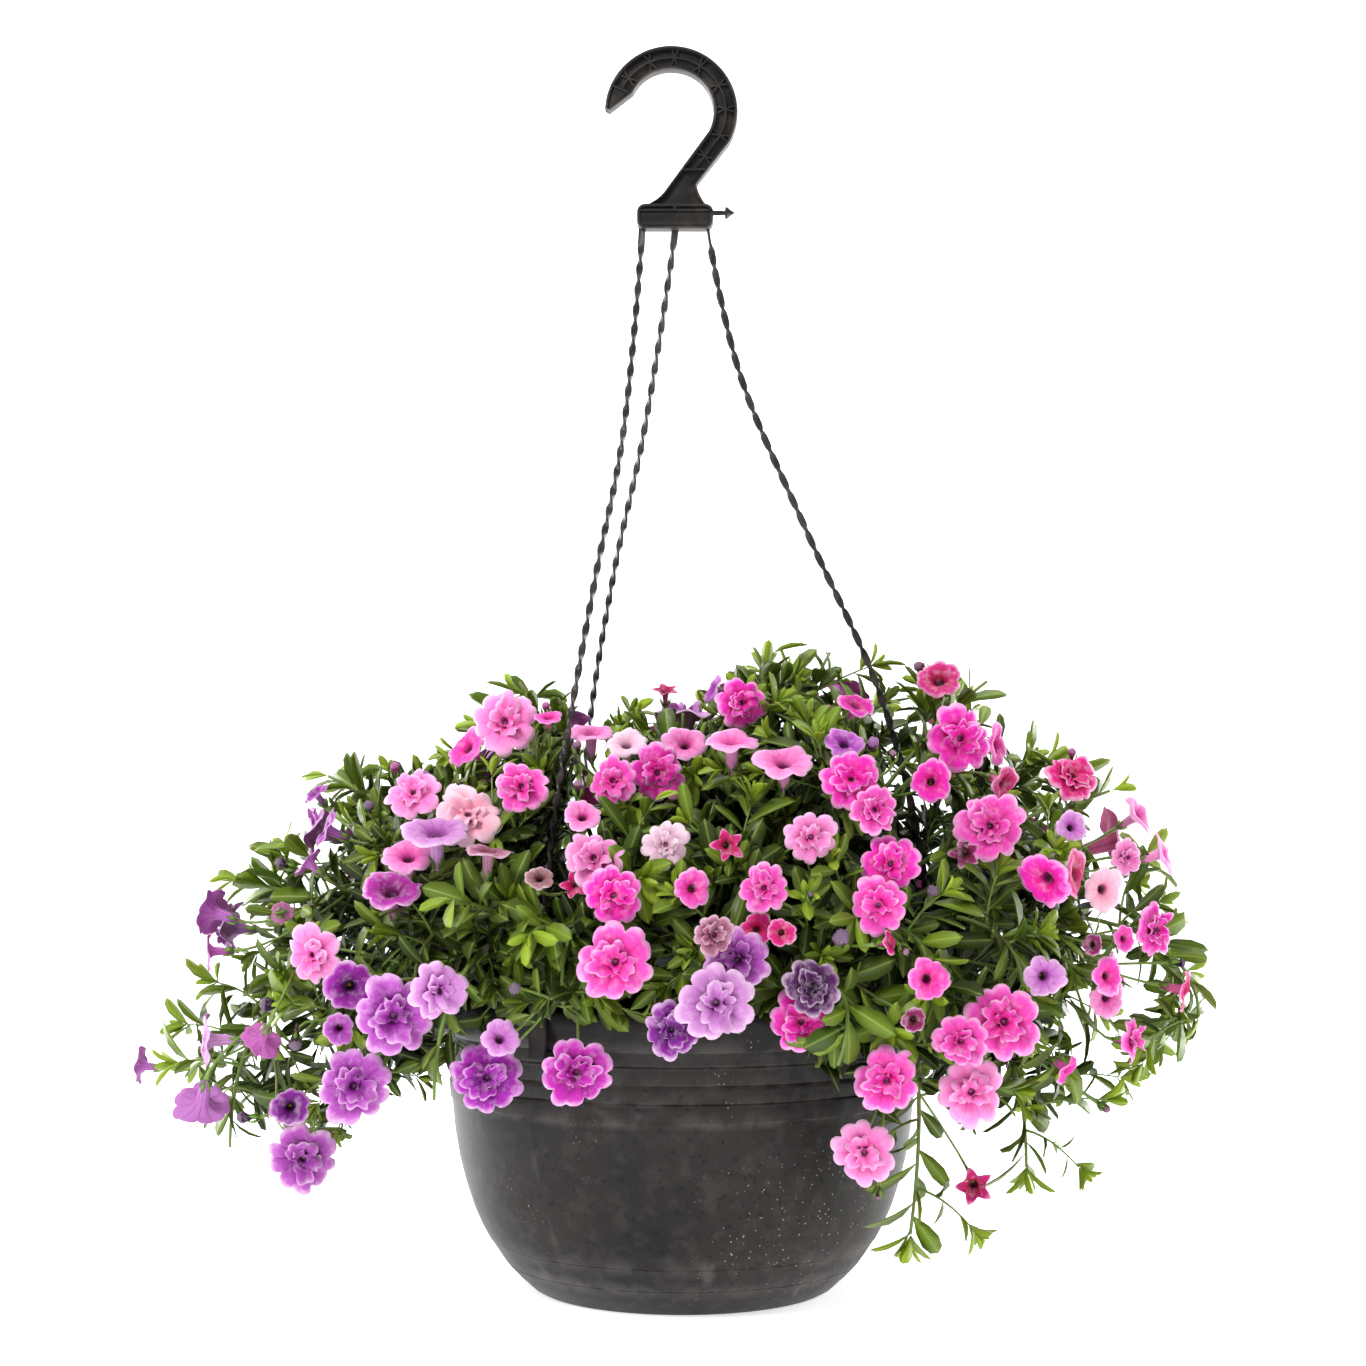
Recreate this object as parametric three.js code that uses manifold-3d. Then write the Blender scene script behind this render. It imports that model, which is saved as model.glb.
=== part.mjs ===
// A hanging pot of calibrachoa: a moulded pot with its soil, a hook hanger with three twisted
// straps, and flowering and leafy shoots that stand in the soil, mound up and trail over the rim.
// Millimetres, +Z up, origin in the middle of the pot's flat base, front towards -Y.
import * as THREE from 'three';
import { mergeVertices } from 'three/addons/utils/BufferGeometryUtils.js';
import Module from 'manifold-3d';

const wasm = await Module();
wasm.setup();

// ---- driving dimensions -------------------------------------------------------------------
const POT = { rimRadius: 125, height: 146, floor: 3, drainHole: 8, drainRing: 48, drains: 5, sides: 36 };
const SOIL = { top: 136, crown: 3, gap: 0.4, holeDepth: 14, holeRadius: 3, rootSpread: 0.34, rootLimit: 100 };
const HOOK = {
  x: -6, z: 594, outer: 34, inner: 21.5, depth: 9, web: 3, border: 2, rib: 1.2,
  tipOuter: 177, tipInner: 154, end: -28, firstPocket: 139, pocketPitch: 30,
};
const BLOCK = { left: -23.6, right: 15.5, bottom: 533.4, top: 546.6, depth: 10, corner: 3 };
const PANEL = { wide: 30, high: 7, deep: 1, below: 1 };
const PIN = { up: 542.5, sunk: 1.5, shaft: 1.25, barbAt: 7, barb: 3.2, slope: 0.5, long: 12, tip: 0.4 };
const STRAP = { wide: 3.6, thick: 1.6, halfTurn: 14, plain: 12, exits: [-20.9, -4.1, 12.9] };
const CLIP = {
  radius: 126.6, wide: 9, back: 125.6, plate: 2.2, top: 150, claw: 119.4, clawTop: 128.2, foot: 124.8,
};
const MOUND = { deep: 180, heart: 155, round: 1.8 };

// How far the mound reaches from its heart in the front view, by the direction in degrees:
// 0 to the right, 90 straight up.
const REACH = [
  [-180, 250], [-172, 274], [-166, 275], [-159, 246], [-151, 222], [-140, 180], [-120, 110],
  [-90, 75], [-65, 110], [-49, 174], [-30, 195], [-18, 228], [-4, 266], [12, 258], [24, 236],
  [31, 229], [36, 205], [45, 218], [51, 209], [65, 179], [74, 171], [87, 140], [107, 139],
  [121, 173], [135, 166], [151, 205], [168, 230], [174, 252], [180, 250],
];

const EYE = { away: 1090, up: 233 };
const STEM = { radius: 1.3, stalk: 1.0, sides: 3, steps: 4 };
const LEAF = { long: 27, wide: 8.5, thick: 1.3 };
const CLEAR = 0.8;

const HUES = {
  purple: 0xa43cc4, lilac: 0xc27fd4, pale: 0xf2b0da, pink: 0xee74c8, hot: 0xea40c4, green: 0x4c7a1e,
};

// The blooms as they are met from the front, a spray to each shoot. Each line holds the form, its
// place across and up where the line of sight meets the plane of the pot's axis, its width there,
// and how far it turns to the right and up from facing the front, in degrees.
const FRONT_SPRAYS = [
  { name: 'far_left', hue: 'purple', blooms: [
    ['single', -275, 109, 19, -95, 5],
    ['single', -244, 122, 28, -75, 0],
    ['single', -245, 89, 29, -160, -50],
    ['bud', -228, 83, 11, -90, 0],
    ['single', -216, 122, 21, -150, -40],
    ['bud', -217, 141, 13, -90, 5],
  ] },
  { name: 'low_left', hue: 'lilac', blooms: [
    ['double', -194, 62, 36, 0, -15],
    ['single', -201, 88, 20, 10, 0],
    ['double', -169, 99, 38, 0, 5],
    ['spent', -199, 117, 13, 0, -60],
  ] },
  { name: 'outer_left', hue: 'purple', blooms: [
    ['single', -240, 187, 26, -110, 15],
    ['single', -242, 167, 20, -80, 0],
    ['bud', -208, 213, 10, -80, 20],
    ['single', -192, 213, 18, -100, 40],
    ['single', -205, 187, 12, 170, 0],
  ] },
  { name: 'mid_left', hue: 'lilac', blooms: [
    ['single', -171, 150, 27, 10, 0],
    ['double', -190, 166, 31, -20, -5],
    ['double', -149, 135, 41, 10, -5],
    ['double', -126, 148, 31, 30, 0],
    ['single', -177, 128, 17, 0, -10],
  ] },
  { name: 'upper_left', hue: 'purple', blooms: [
    ['single', -183, 230, 21, -75, 25],
    ['single', -187, 247, 15, -60, 50],
    ['bud', -161, 243, 10, 0, 30],
    ['single', -150, 200, 31, 0, 55],
  ] },
  { name: 'shoulder_left', hue: 'pale', blooms: [
    ['single', -127, 230, 35, 0, 65],
    ['single', -141, 217, 28, 0, 50],
    ['double', -110, 237, 36, 0, 30],
    ['single', -100, 220, 25, 30, 80],
    ['double', -138, 248, 28, -10, 30],
    ['bud', -147, 263, 9, 0, 60],
    ['bud', -132, 259, 10, 0, 60],
  ] },
  { name: 'top_left', hue: 'pale', blooms: [
    ['double', -91, 284, 34, 0, 20],
    ['single', -111, 271, 22, -40, 30],
    ['single', -69, 287, 14, 0, 60],
    ['bud', -70, 294, 8, 0, 75],
    ['double', -83, 252, 28, -10, 20],
  ] },
  { name: 'top_centre_left', hue: 'pink', blooms: [
    ['single', -47, 279, 25, 0, 70],
    ['bud', -54, 275, 8, 0, 60],
    ['bud', -54, 256, 9, 0, 70],
    ['double', -36, 255, 25, -10, 10],
    ['double', -13, 259, 30, 5, 5],
    ['single', -29, 274, 22, 0, 50],
  ] },
  { name: 'centre_left', hue: 'pink', blooms: [
    ['double', -46, 216, 31, -10, 25],
    ['single', -74, 206, 15, 0, 40],
    ['star', -56, 202, 16, -10, 0],
    ['double', -36, 197, 31, 5, 0],
    ['double', -9, 223, 25, 0, 10],
    ['single', -52, 238, 20, 0, 40],
  ] },
  { name: 'centre', hue: 'pink', blooms: [
    ['star', 23, 223, 19, 10, 0],
    ['single', 5, 201, 20, 10, 10],
    ['double', 42, 201, 26, 0, 10],
    ['double', 66, 227, 27, 0, 0],
    ['bud', 66, 199, 6, 0, 60],
  ] },
  { name: 'top_centre', hue: 'pale', blooms: [
    ['star', -9, 299, 14, 0, 60],
    ['double', 30, 294, 27, 20, 10],
    ['single', 15, 300, 16, -70, 20],
    ['single', 25, 276, 30, 0, 70],
    ['single', 1, 274, 23, 0, 40],
    ['single', 52, 266, 30, 0, 55],
  ] },
  { name: 'top_right_centre', hue: 'hot', blooms: [
    ['double', 87, 256, 33, 0, 25],
    ['double', 99, 241, 25, 10, 15],
    ['single', 89, 294, 20, 30, 50],
    ['single', 83, 275, 20, 0, 40],
    ['bud', 98, 277, 12, 0, 40],
    ['bud', 108, 271, 7, 0, 60],
  ] },
  { name: 'centre_right', hue: 'hot', blooms: [
    ['double', 107, 213, 31, 0, 5],
    ['double', 101, 192, 30, -5, 0],
    ['bud', 82, 177, 17, 0, 20],
    ['single', 107, 173, 13, 60, 10],
    ['spent', 129, 199, 12, 0, 0],
    ['bud', 116, 167, 7, 30, -30],
  ] },
  { name: 'front_left', hue: 'purple', blooms: [
    ['double', -35, 163, 40, 0, 0],
    ['spent', -87, 149, 12, 0, 0],
    ['single', -94, 124, 21, 20, 30],
    ['double', -101, 103, 37, 0, 0],
    ['double', -55, 106, 36, 0, 0],
  ] },
  { name: 'front_centre', hue: 'lilac', blooms: [
    ['double', -6, 128, 29, 0, 0],
    ['double', 17, 142, 40, 0, 0],
    ['double', 28, 164, 34, 0, 5],
    ['double', 16, 177, 21, 0, 0],
    ['single', 38, 180, 18, 0, 20],
    ['single', 51, 178, 15, 0, 0],
  ] },
  { name: 'front_right', hue: 'purple', blooms: [
    ['double', 67, 150, 30, 0, 10],
    ['double', 61, 132, 34, 0, -5],
    ['single', 119, 133, 13, 0, 0],
  ] },
  { name: 'low_right', hue: 'pale', blooms: [
    ['double', 105, 102, 34, 0, 0],
    ['double', 93, 65, 33, 0, 0],
    ['double', 148, 96, 35, 0, 0],
    ['star', 148, 48, 21, 0, -10],
    ['bud', 100, 41, 6, 0, -80],
  ] },
  { name: 'lower_right', hue: 'pink', blooms: [
    ['double', 165, 132, 39, 0, 5],
    ['double', 143, 122, 28, -10, -10],
    ['single', 127, 154, 23, 20, 0],
    ['single', 197, 107, 18, 60, -30],
    ['single', 186, 155, 22, 10, 0],
    ['bud', 217, 86, 7, 60, -30],
  ] },
  { name: 'outer_right', hue: 'hot', blooms: [
    ['double', 230, 122, 22, 60, 0],
    ['single', 256, 147, 21, 70, -10],
    ['double', 241, 178, 27, 45, 0],
    ['single', 218, 155, 20, 30, 0],
    ['single', 210, 171, 11, 0, 0],
    ['single', 217, 143, 20, 10, -10],
    ['bud', 256, 161, 8, 90, 0],
    ['single', 226, 174, 14, 30, 0],
  ] },
  { name: 'shoulder_right', hue: 'pink', blooms: [
    ['single', 232, 236, 22, 60, 30],
    ['single', 245, 217, 23, 70, 20],
    ['double', 227, 215, 18, 20, 0],
    ['single', 216, 199, 23, 20, 0],
    ['single', 202, 208, 25, 60, 0],
    ['single', 186, 204, 29, -40, -20],
  ] },
  { name: 'upper_right', hue: 'hot', blooms: [
    ['double', 199, 256, 28, 20, 30],
    ['bud', 198, 270, 8, 0, 70],
    ['double', 158, 232, 36, 0, 10],
    ['star', 145, 218, 17, -10, -10],
    ['single', 199, 231, 17, 10, 20],
  ] },
  { name: 'top_right', hue: 'hot', blooms: [
    ['single', 131, 306, 24, -10, 40],
    ['bud', 118, 313, 10, -60, 20],
    ['double', 142, 276, 34, 10, 5],
    ['single', 161, 272, 22, 60, 0],
    ['single', 165, 253, 20, 50, -20],
    ['single', 128, 255, 22, 0, 10],
  ] },
];

// The green strand tips that are met from the front, across and up in the same plane.
const FRONT_TIPS = [
  ['trailing_low_right', 116, 24], ['trailing_right', 174, 58], ['side_right', 262, 134],
  ['low_right_tip', 80, 110], ['shoulder_right', 217, 248], ['peak_right', 155, 304],
  ['peak_centre', 46, 318], ['peak_right_centre', 76, 320], ['peak_left', -84, 304],
  ['shoulder_left', -180, 255], ['side_left', -236, 205], ['low_left_tip', -230, 68],
  ['hanging_left', -128, 92], ['heart_left', -118, 195], ['heart_centre', -78, 178],
  ['heart_right', 132, 165], ['front_right', 190, 150],
];

// Sprays and tips round the back, where the mound is filled in evenly.
const BACK = {
  sprays: 8, tips: 8, from: 2, span: 176, spread: 13, level: 0.88,
  sprayRises: [8, 44, 12, 72, 40, 10, 46, 14], tipRises: [30, -6, 62, 30, 84, -4, 64, 26],
};
const SMALL_BUD = 11;
const TIP_LEAVES = 8;

// ---- small helpers --------------------------------------------------------------------------
const vec = (x, y, z) => new THREE.Vector3(x, y, z);
const rad = THREE.MathUtils.degToRad;
const up = vec(0, 0, 1);
const GOLDEN = rad(137.508);

// an even draw in 0..1 from a whole number, the same every time
function draw(seed) {
  const wave = Math.sin(seed * 12.9898 + 4.1414) * 43758.5453;
  return wave - Math.floor(wave);
}

function toSolid(geometry) {
  const bare = geometry.index ? geometry.toNonIndexed() : geometry.clone();
  bare.deleteAttribute('normal');
  bare.deleteAttribute('uv');
  const merged = mergeVertices(bare, 1e-4);
  return new wasm.Manifold(new wasm.Mesh({
    numProp: 3,
    vertProperties: new Float32Array(merged.attributes.position.array),
    triVerts: new Uint32Array(merged.index.array),
  }));
}

function facets(points, triangles) {
  return new wasm.Manifold(new wasm.Mesh({
    numProp: 3,
    vertProperties: new Float32Array(points.flatMap((p) => [p.x, p.y, p.z])),
    triVerts: new Uint32Array(triangles.flat()),
  }));
}

function toMesh(name, solid, colour, roughness) {
  const { vertProperties, triVerts } = solid.getMesh();
  const geometry = new THREE.BufferGeometry();
  geometry.setAttribute('position', new THREE.BufferAttribute(new Float32Array(vertProperties), 3));
  geometry.setIndex(new THREE.BufferAttribute(new Uint32Array(triVerts), 1));
  geometry.computeVertexNormals();
  const material = new THREE.MeshStandardMaterial({ color: colour, roughness, metalness: 0 });
  const mesh = new THREE.Mesh(geometry, material);
  mesh.name = name;
  return mesh;
}

const joined = (solids) => wasm.Manifold.union(solids);

// A closed skin over rings of equal count, given end to end; each ring runs anticlockwise when
// it is looked at from the end of the loft.
function loft(rings) {
  const count = rings[0].length;
  const last = rings.length - 1;
  const triangles = [];
  for (let j = 0; j < last; j += 1) {
    for (let i = 0; i < count; i += 1) {
      const a = j * count + i;
      const b = j * count + ((i + 1) % count);
      triangles.push([a, b, b + count], [a, b + count, a + count]);
    }
  }
  for (let i = 1; i < count - 1; i += 1) {
    triangles.push([0, i + 1, i]);
    triangles.push([last * count, last * count + i, last * count + i + 1]);
  }
  return facets(rings.flat(), triangles);
}

function across(direction) {
  const side = Math.abs(direction.z) > 0.95 ? vec(1, 0, 0) : up;
  const u = side.clone().cross(direction).normalize();
  return [u, direction.clone().cross(u)];
}

// a three-sided stem with its bends at the given points
function tube(points, radius) {
  const section = new THREE.Shape(Array.from({ length: STEM.sides }, (_, i) => {
    const angle = (i / STEM.sides) * 2 * Math.PI;
    return new THREE.Vector2(Math.cos(angle) * radius, Math.sin(angle) * radius);
  }));
  const route = new THREE.CurvePath();
  for (let i = 1; i < points.length; i += 1) route.add(new THREE.LineCurve3(points[i - 1], points[i]));
  route.getSpacedPoints = () => points;
  const steps = points.length - 1;
  return toSolid(new THREE.ExtrudeGeometry(section, { steps, extrudePath: route, bevelEnabled: false }));
}

// ---- pot ------------------------------------------------------------------------------------
// outer side of the pot from its base to the rim: radius and height
const POT_SIDE = [
  [72, 0], [83, 8], [92.5, 19.5], [97, 25.5], [105, 42], [112, 66], [116, 95], [117.4, 104],
  [116.7, 105], [118.2, 112], [117.5, 113], [118.8, 128.6], [121, 128.6], [125, 141], [125, 146],
];

// inner side, from the rim down to the floor of the pot
const POT_INSIDE = [[121.5, 146], [116, 126], [112.5, 90], [101, 40], [70, 3]];

function potRadius(height) {
  const side = POT_SIDE;
  const next = side.findIndex(([, z]) => z >= height);
  if (next < 0) return 0;
  if (next === 0) return side[0][0];
  const [r0, z0] = side[next - 1];
  const [r1, z1] = side[next];
  return r0 + ((r1 - r0) * (height - z0)) / (z1 - z0);
}

function insideRadius(height) {
  const wall = [...POT_INSIDE].reverse();
  const next = Math.max(1, wall.findIndex(([, z]) => z >= height));
  const [r0, z0] = wall[next - 1];
  const [r1, z1] = wall[next];
  return r0 + ((r1 - r0) * (height - z0)) / (z1 - z0);
}

function turned(profile, sides) {
  const points = [[0, profile[0][1]], ...profile, [0, profile[profile.length - 1][1]]];
  const lathe = new THREE.LatheGeometry(points.map(([r, z]) => new THREE.Vector2(r, z)), sides);
  lathe.rotateX(Math.PI / 2);
  return toSolid(lathe);
}

function post(x, y, bottom, top, radius, sides) {
  const cylinder = new THREE.CylinderGeometry(radius, radius, top - bottom, sides);
  cylinder.rotateX(Math.PI / 2);
  cylinder.translate(x, y, (top + bottom) / 2);
  return toSolid(cylinder);
}

function pot() {
  const shell = turned([...POT_SIDE, ...POT_INSIDE], POT.sides);
  const drains = Array.from({ length: POT.drains }, (_, i) => {
    const angle = ((i + 0.5) / POT.drains) * 2 * Math.PI;
    const x = Math.cos(angle) * POT.drainRing;
    const y = Math.sin(angle) * POT.drainRing;
    return post(x, y, -1, POT.floor + 1, POT.drainHole / 2, 5);
  });
  return shell.subtract(joined(drains));
}

// ---- hanger ---------------------------------------------------------------------------------
const polar = (radius, degrees) => new THREE.Vector2(
  HOOK.x + radius * Math.cos(rad(degrees)),
  HOOK.z + radius * Math.sin(rad(degrees)),
);

// a front-view outline pushed through from one depth to another
function slab(outline, near, far) {
  const shape = Array.isArray(outline) ? new THREE.Shape(outline) : outline;
  const plate = new THREE.ExtrudeGeometry(shape, {
    depth: far - near, bevelEnabled: false, curveSegments: 12,
  });
  plate.rotateX(Math.PI / 2);
  plate.translate(0, far, 0);
  return toSolid(plate);
}

// the two ends of each flare between the block and the neck: where it bends and where it ends
const FLARE = { right: [8.5, 549, 7.1, 556.3], left: [-13, 548, -9.7, 552.7] };
const HOOK_TIP = [-37.2, 594.2];

// The hook's outline: up the neck and round the bow to a tip that narrows to a rounded point.
function hookOutline() {
  const [bendX, bendZ, neckX, neckZ] = FLARE.left;
  const sunk = HOOK.border;
  const shape = new THREE.Shape();
  shape.moveTo(BLOCK.left + sunk, BLOCK.top - sunk);
  shape.lineTo(BLOCK.right - sunk, BLOCK.top - sunk);
  shape.quadraticCurveTo(...FLARE.right);
  shape.lineTo(polar(HOOK.outer, HOOK.end).x, polar(HOOK.outer, HOOK.end).y);
  shape.absarc(HOOK.x, HOOK.z, HOOK.outer, rad(HOOK.end), rad(HOOK.tipOuter), false);
  shape.lineTo(...HOOK_TIP);
  shape.absarc(HOOK.x, HOOK.z, HOOK.inner, rad(HOOK.tipInner), rad(HOOK.end), true);
  shape.lineTo(neckX, neckZ);
  shape.quadraticCurveTo(bendX, bendZ, BLOCK.left + sunk, BLOCK.top - sunk);
  return shape;
}

// The pockets between the ribs of the hook's face: two rows, parted by a rib along the middle,
// with slanting ribs across, so each pocket narrows towards its border.
function hookPockets() {
  const middle = (HOOK.outer + HOOK.inner) / 2;
  const rows = [
    [middle - HOOK.rib / 2, HOOK.inner + HOOK.border],
    [middle + HOOK.rib / 2, HOOK.outer - HOOK.border],
  ];
  const pitch = HOOK.pocketPitch;
  const outlines = [];
  for (let angle = HOOK.firstPocket; angle > HOOK.end; angle -= pitch) {
    for (const [near, far] of rows) {
      const corners = [
        polar(near, angle - pitch * 0.45), polar(far, angle - pitch * 0.3),
        polar(far, angle + pitch * 0.3), polar(near, angle + pitch * 0.45),
      ];
      outlines.push(far > near ? corners : corners.reverse());
    }
  }
  return outlines;
}

function blockOutline() {
  const { left, right, bottom, top, corner } = BLOCK;
  const shape = new THREE.Shape();
  shape.moveTo(left + corner, bottom);
  shape.lineTo(right - corner, bottom);
  shape.lineTo(right, bottom + corner);
  shape.lineTo(right, top - corner);
  shape.lineTo(right - corner, top);
  shape.lineTo(left + corner, top);
  shape.lineTo(left, top - corner);
  shape.lineTo(left, bottom + corner);
  return shape;
}

// the small barbed pin on the right end of the block
function barbedPin() {
  const profile = [
    [PIN.shaft, 0], [PIN.shaft, PIN.barbAt], [PIN.barb, PIN.barbAt + PIN.slope], [PIN.tip, PIN.long],
  ];
  return turned(profile, 6).rotate([0, 90, 0]).translate([BLOCK.right - PIN.sunk, 0, PIN.up]);
}

// Each strap leaves the block, hangs inwards as a curve and ends on the outside of the rim:
// the share of the way down and, there, the share of the way out.
const STRAPS = [
  { exit: 0, angle: 238, way: [[0, 0], [0.28, 0.2], [0.475, 0.48], [0.73, 0.81], [0.85, 0.92], [1, 1]] },
  { exit: 2, angle: 358, way: [[0, 0], [0.19, 0.14], [0.4, 0.44], [0.61, 0.76], [0.8, 0.93], [1, 1]] },
  { exit: 1, angle: 118, way: [[0, 0], [0.26, 0.3], [0.43, 0.58], [0.64, 0.84], [0.82, 0.95], [1, 1]] },
];

const rimPoint = (angle, radius, z) => vec(
  Math.cos(rad(angle)) * radius, Math.sin(rad(angle)) * radius, z,
);

function strapCurve({ exit, angle, way }) {
  const from = vec(STRAP.exits[exit], 0, BLOCK.bottom);
  const to = rimPoint(angle, CLIP.radius, CLIP.top - 3);
  const points = way.map(([down, out]) => vec(
    from.x + (to.x - from.x) * out, from.y + (to.y - from.y) * out, from.z + (to.z - from.z) * down,
  ));
  points.unshift(vec(from.x, 0, from.z + 4));
  return new THREE.CatmullRomCurve3(points);
}

// a flat strip of constant width that turns over every half turn
function strap(plan) {
  const curve = strapCurve(plan);
  const length = curve.getLength();
  const start = STRAP.plain / length;
  const turns = Math.round((length - 2 * STRAP.plain) / STRAP.halfTurn);
  const steps = turns * 2;
  const shares = Array.from({ length: steps + 1 }, (_, i) => start + ((1 - 2 * start) * i) / steps);
  const side = curve.getPointAt(1).sub(curve.getPointAt(0)).cross(up).normalize();
  const rings = [0, ...shares, 1].map((share, index) => {
    const centre = curve.getPointAt(share);
    const lift = curve.getTangentAt(share).cross(side);
    const turn = (-Math.PI / 2) * THREE.MathUtils.clamp(index - 1, 0, steps);
    const wide = side.clone().multiplyScalar(Math.cos(turn)).addScaledVector(lift, Math.sin(turn));
    const thin = lift.clone().multiplyScalar(Math.cos(turn)).addScaledVector(side, -Math.sin(turn));
    return [[1, 1], [-1, 1], [-1, -1], [1, -1]].map(([a, b]) => centre.clone()
      .addScaledVector(wide, (a * STRAP.wide) / 2)
      .addScaledVector(thin, (b * STRAP.thick) / 2));
  });
  return loft(rings);
}

// the clip at the foot of a strap: a plate outside the rim with a claw under the rim band
function clip(angle) {
  const { wide, back, plate, top, claw, clawTop, foot } = CLIP;
  const front = back + plate;
  const outline = [[claw, foot], [front, foot], [front, top], [back, top], [back, clawTop], [claw, clawTop]];
  const shape = new THREE.Shape(outline.map(([r, z]) => new THREE.Vector2(r, z)));
  const bent = new THREE.ExtrudeGeometry(shape, { depth: wide, bevelEnabled: false });
  bent.translate(0, 0, -wide / 2);
  bent.rotateX(Math.PI / 2);
  bent.rotateZ(rad(angle));
  return toSolid(bent);
}

function hanger() {
  const half = HOOK.depth / 2;
  let hook = slab(hookOutline(), -half, half);
  const pockets = hookPockets().flatMap((outline) => [
    slab(outline, -half - 1, -HOOK.web / 2), slab(outline, HOOK.web / 2, half + 1),
  ]);
  hook = hook.subtract(joined(pockets));
  const block = slab(blockOutline(), -BLOCK.depth / 2, BLOCK.depth / 2);
  const panel = new THREE.BoxGeometry(PANEL.wide, 2 * PANEL.deep, PANEL.high);
  const middle = (BLOCK.bottom + BLOCK.top) / 2;
  panel.translate((BLOCK.left + BLOCK.right) / 2, -BLOCK.depth / 2, middle - PANEL.below);
  const straps = STRAPS.map(strap);
  const clips = STRAPS.map(({ angle }) => clip(angle));
  return joined([hook, block.subtract(toSolid(panel)), barbedPin(), ...straps, ...clips]);
}

// ---- what has its place already ---------------------------------------------------------------
// Every stem, leaf and bloom is followed by beads, so that the next one can be kept clear.
const taken = [];
const CELL = 24;
const cells = new Map();
const cellKey = (x, y, z) => `${x},${y},${z}`;

function take(owner, beads) {
  for (const bead of beads) {
    const entry = { owner, ...bead };
    taken.push(entry);
    const key = cellKey(...bead.at.toArray().map((c) => Math.floor(c / CELL)));
    if (!cells.has(key)) cells.set(key, []);
    cells.get(key).push(entry);
  }
}

function near(at) {
  const [cx, cy, cz] = at.toArray().map((c) => Math.floor(c / CELL));
  const found = [];
  for (let x = cx - 1; x <= cx + 1; x += 1) {
    for (let y = cy - 1; y <= cy + 1; y += 1) {
      for (let z = cz - 1; z <= cz + 1; z += 1) {
        const here = cells.get(cellKey(x, y, z));
        if (here) found.push(...here);
      }
    }
  }
  return found;
}

// how deep a row of beads sinks into the things of other owners, the pot and the soil: 0 when clear
function clash(own, beads) {
  let worst = 0;
  for (const { at, radius } of beads) {
    for (const other of near(at)) {
      if (own.includes(other.owner)) continue;
      worst = Math.max(worst, radius + other.radius + CLEAR - at.distanceTo(other.at));
    }
    const out = Math.hypot(at.x, at.y);
    const lift = at.z - radius - CLEAR;
    if (out < POT.rimRadius && lift < SOIL.top + SOIL.crown && at.z > SOIL.top - 20) {
      const ground = out < 116 ? SOIL.top + SOIL.crown : POT.height;
      worst = Math.max(worst, ground - lift);
    }
    if (out > 100 && lift < POT.height && at.z < POT.height + 30) {
      const wall = potRadius(Math.min(lift, POT.height - 1)) || POT.rimRadius;
      worst = Math.max(worst, Math.min(wall + radius + CLEAR - out, POT.height - lift));
    }
    worst = Math.max(worst, 14 - at.z);
  }
  return worst;
}

function beadsAlong(points, radius, gap = 2.5) {
  const beads = [];
  for (let i = 0; i < points.length - 1; i += 1) {
    const count = Math.max(1, Math.ceil(points[i].distanceTo(points[i + 1]) / gap));
    for (let k = 0; k < count; k += 1) {
      beads.push({ at: points[i].clone().lerp(points[i + 1], k / count), radius });
    }
  }
  beads.push({ at: points[points.length - 1].clone(), radius });
  return beads;
}

// ---- the mound and the blooms' places on it ------------------------------------------------------
function reachAt(x, rise) {
  const angle = THREE.MathUtils.radToDeg(Math.atan2(rise, x));
  const next = Math.max(1, REACH.findIndex(([turn]) => turn >= angle));
  const [a0, r0] = REACH[next - 1];
  const [a1, r1] = REACH[next];
  return r0 + ((r1 - r0) * (angle - a0)) / (a1 - a0);
}

// below 1 inside the mound, 1 on its outer face
function mound({ x, y, z }) {
  const rise = z - MOUND.heart;
  const outward = (Math.hypot(x, rise) / reachAt(x, rise)) ** MOUND.round;
  return outward + Math.abs(y / MOUND.deep) ** MOUND.round;
}

// where the line of sight through a place in the axis plane first meets the mound
function onMound(xAcross, zUp) {
  const eye = vec(0, -EYE.away, EYE.up);
  const aim = vec(xAcross, 0, zUp).sub(eye);
  let best = null;
  let least = Infinity;
  for (let share = 0.8; share < 1.06; share += 0.004) {
    const place = eye.clone().addScaledVector(aim, share);
    const level = mound(place);
    if (level < least) {
      least = level;
      best = place;
    }
    if (level < 1) break;
  }
  // below the rim it hangs clear of the pot
  aim.normalize();
  while (best.z < POT.height + 6 && Math.hypot(best.x, best.y) < POT.rimRadius + 26) best.addScaledVector(aim, -2);
  return best;
}

function facing(turn, tilt) {
  return vec(
    Math.sin(rad(turn)) * Math.cos(rad(tilt)), -Math.cos(rad(turn)) * Math.cos(rad(tilt)), Math.sin(rad(tilt)),
  );
}

const DEPTH = { double: 1.05, single: 1.35, star: 1.5, bud: 2.4, spent: 1.6 };

const footOf = ({ form, place, radius, face }) => place.clone().addScaledVector(face, -DEPTH[form] * radius);

function middleOf({ blooms }) {
  const sum = blooms.reduce((so, { place }) => so.add(place), vec(0, 0, 0));
  return sum.divideScalar(blooms.length);
}

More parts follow.
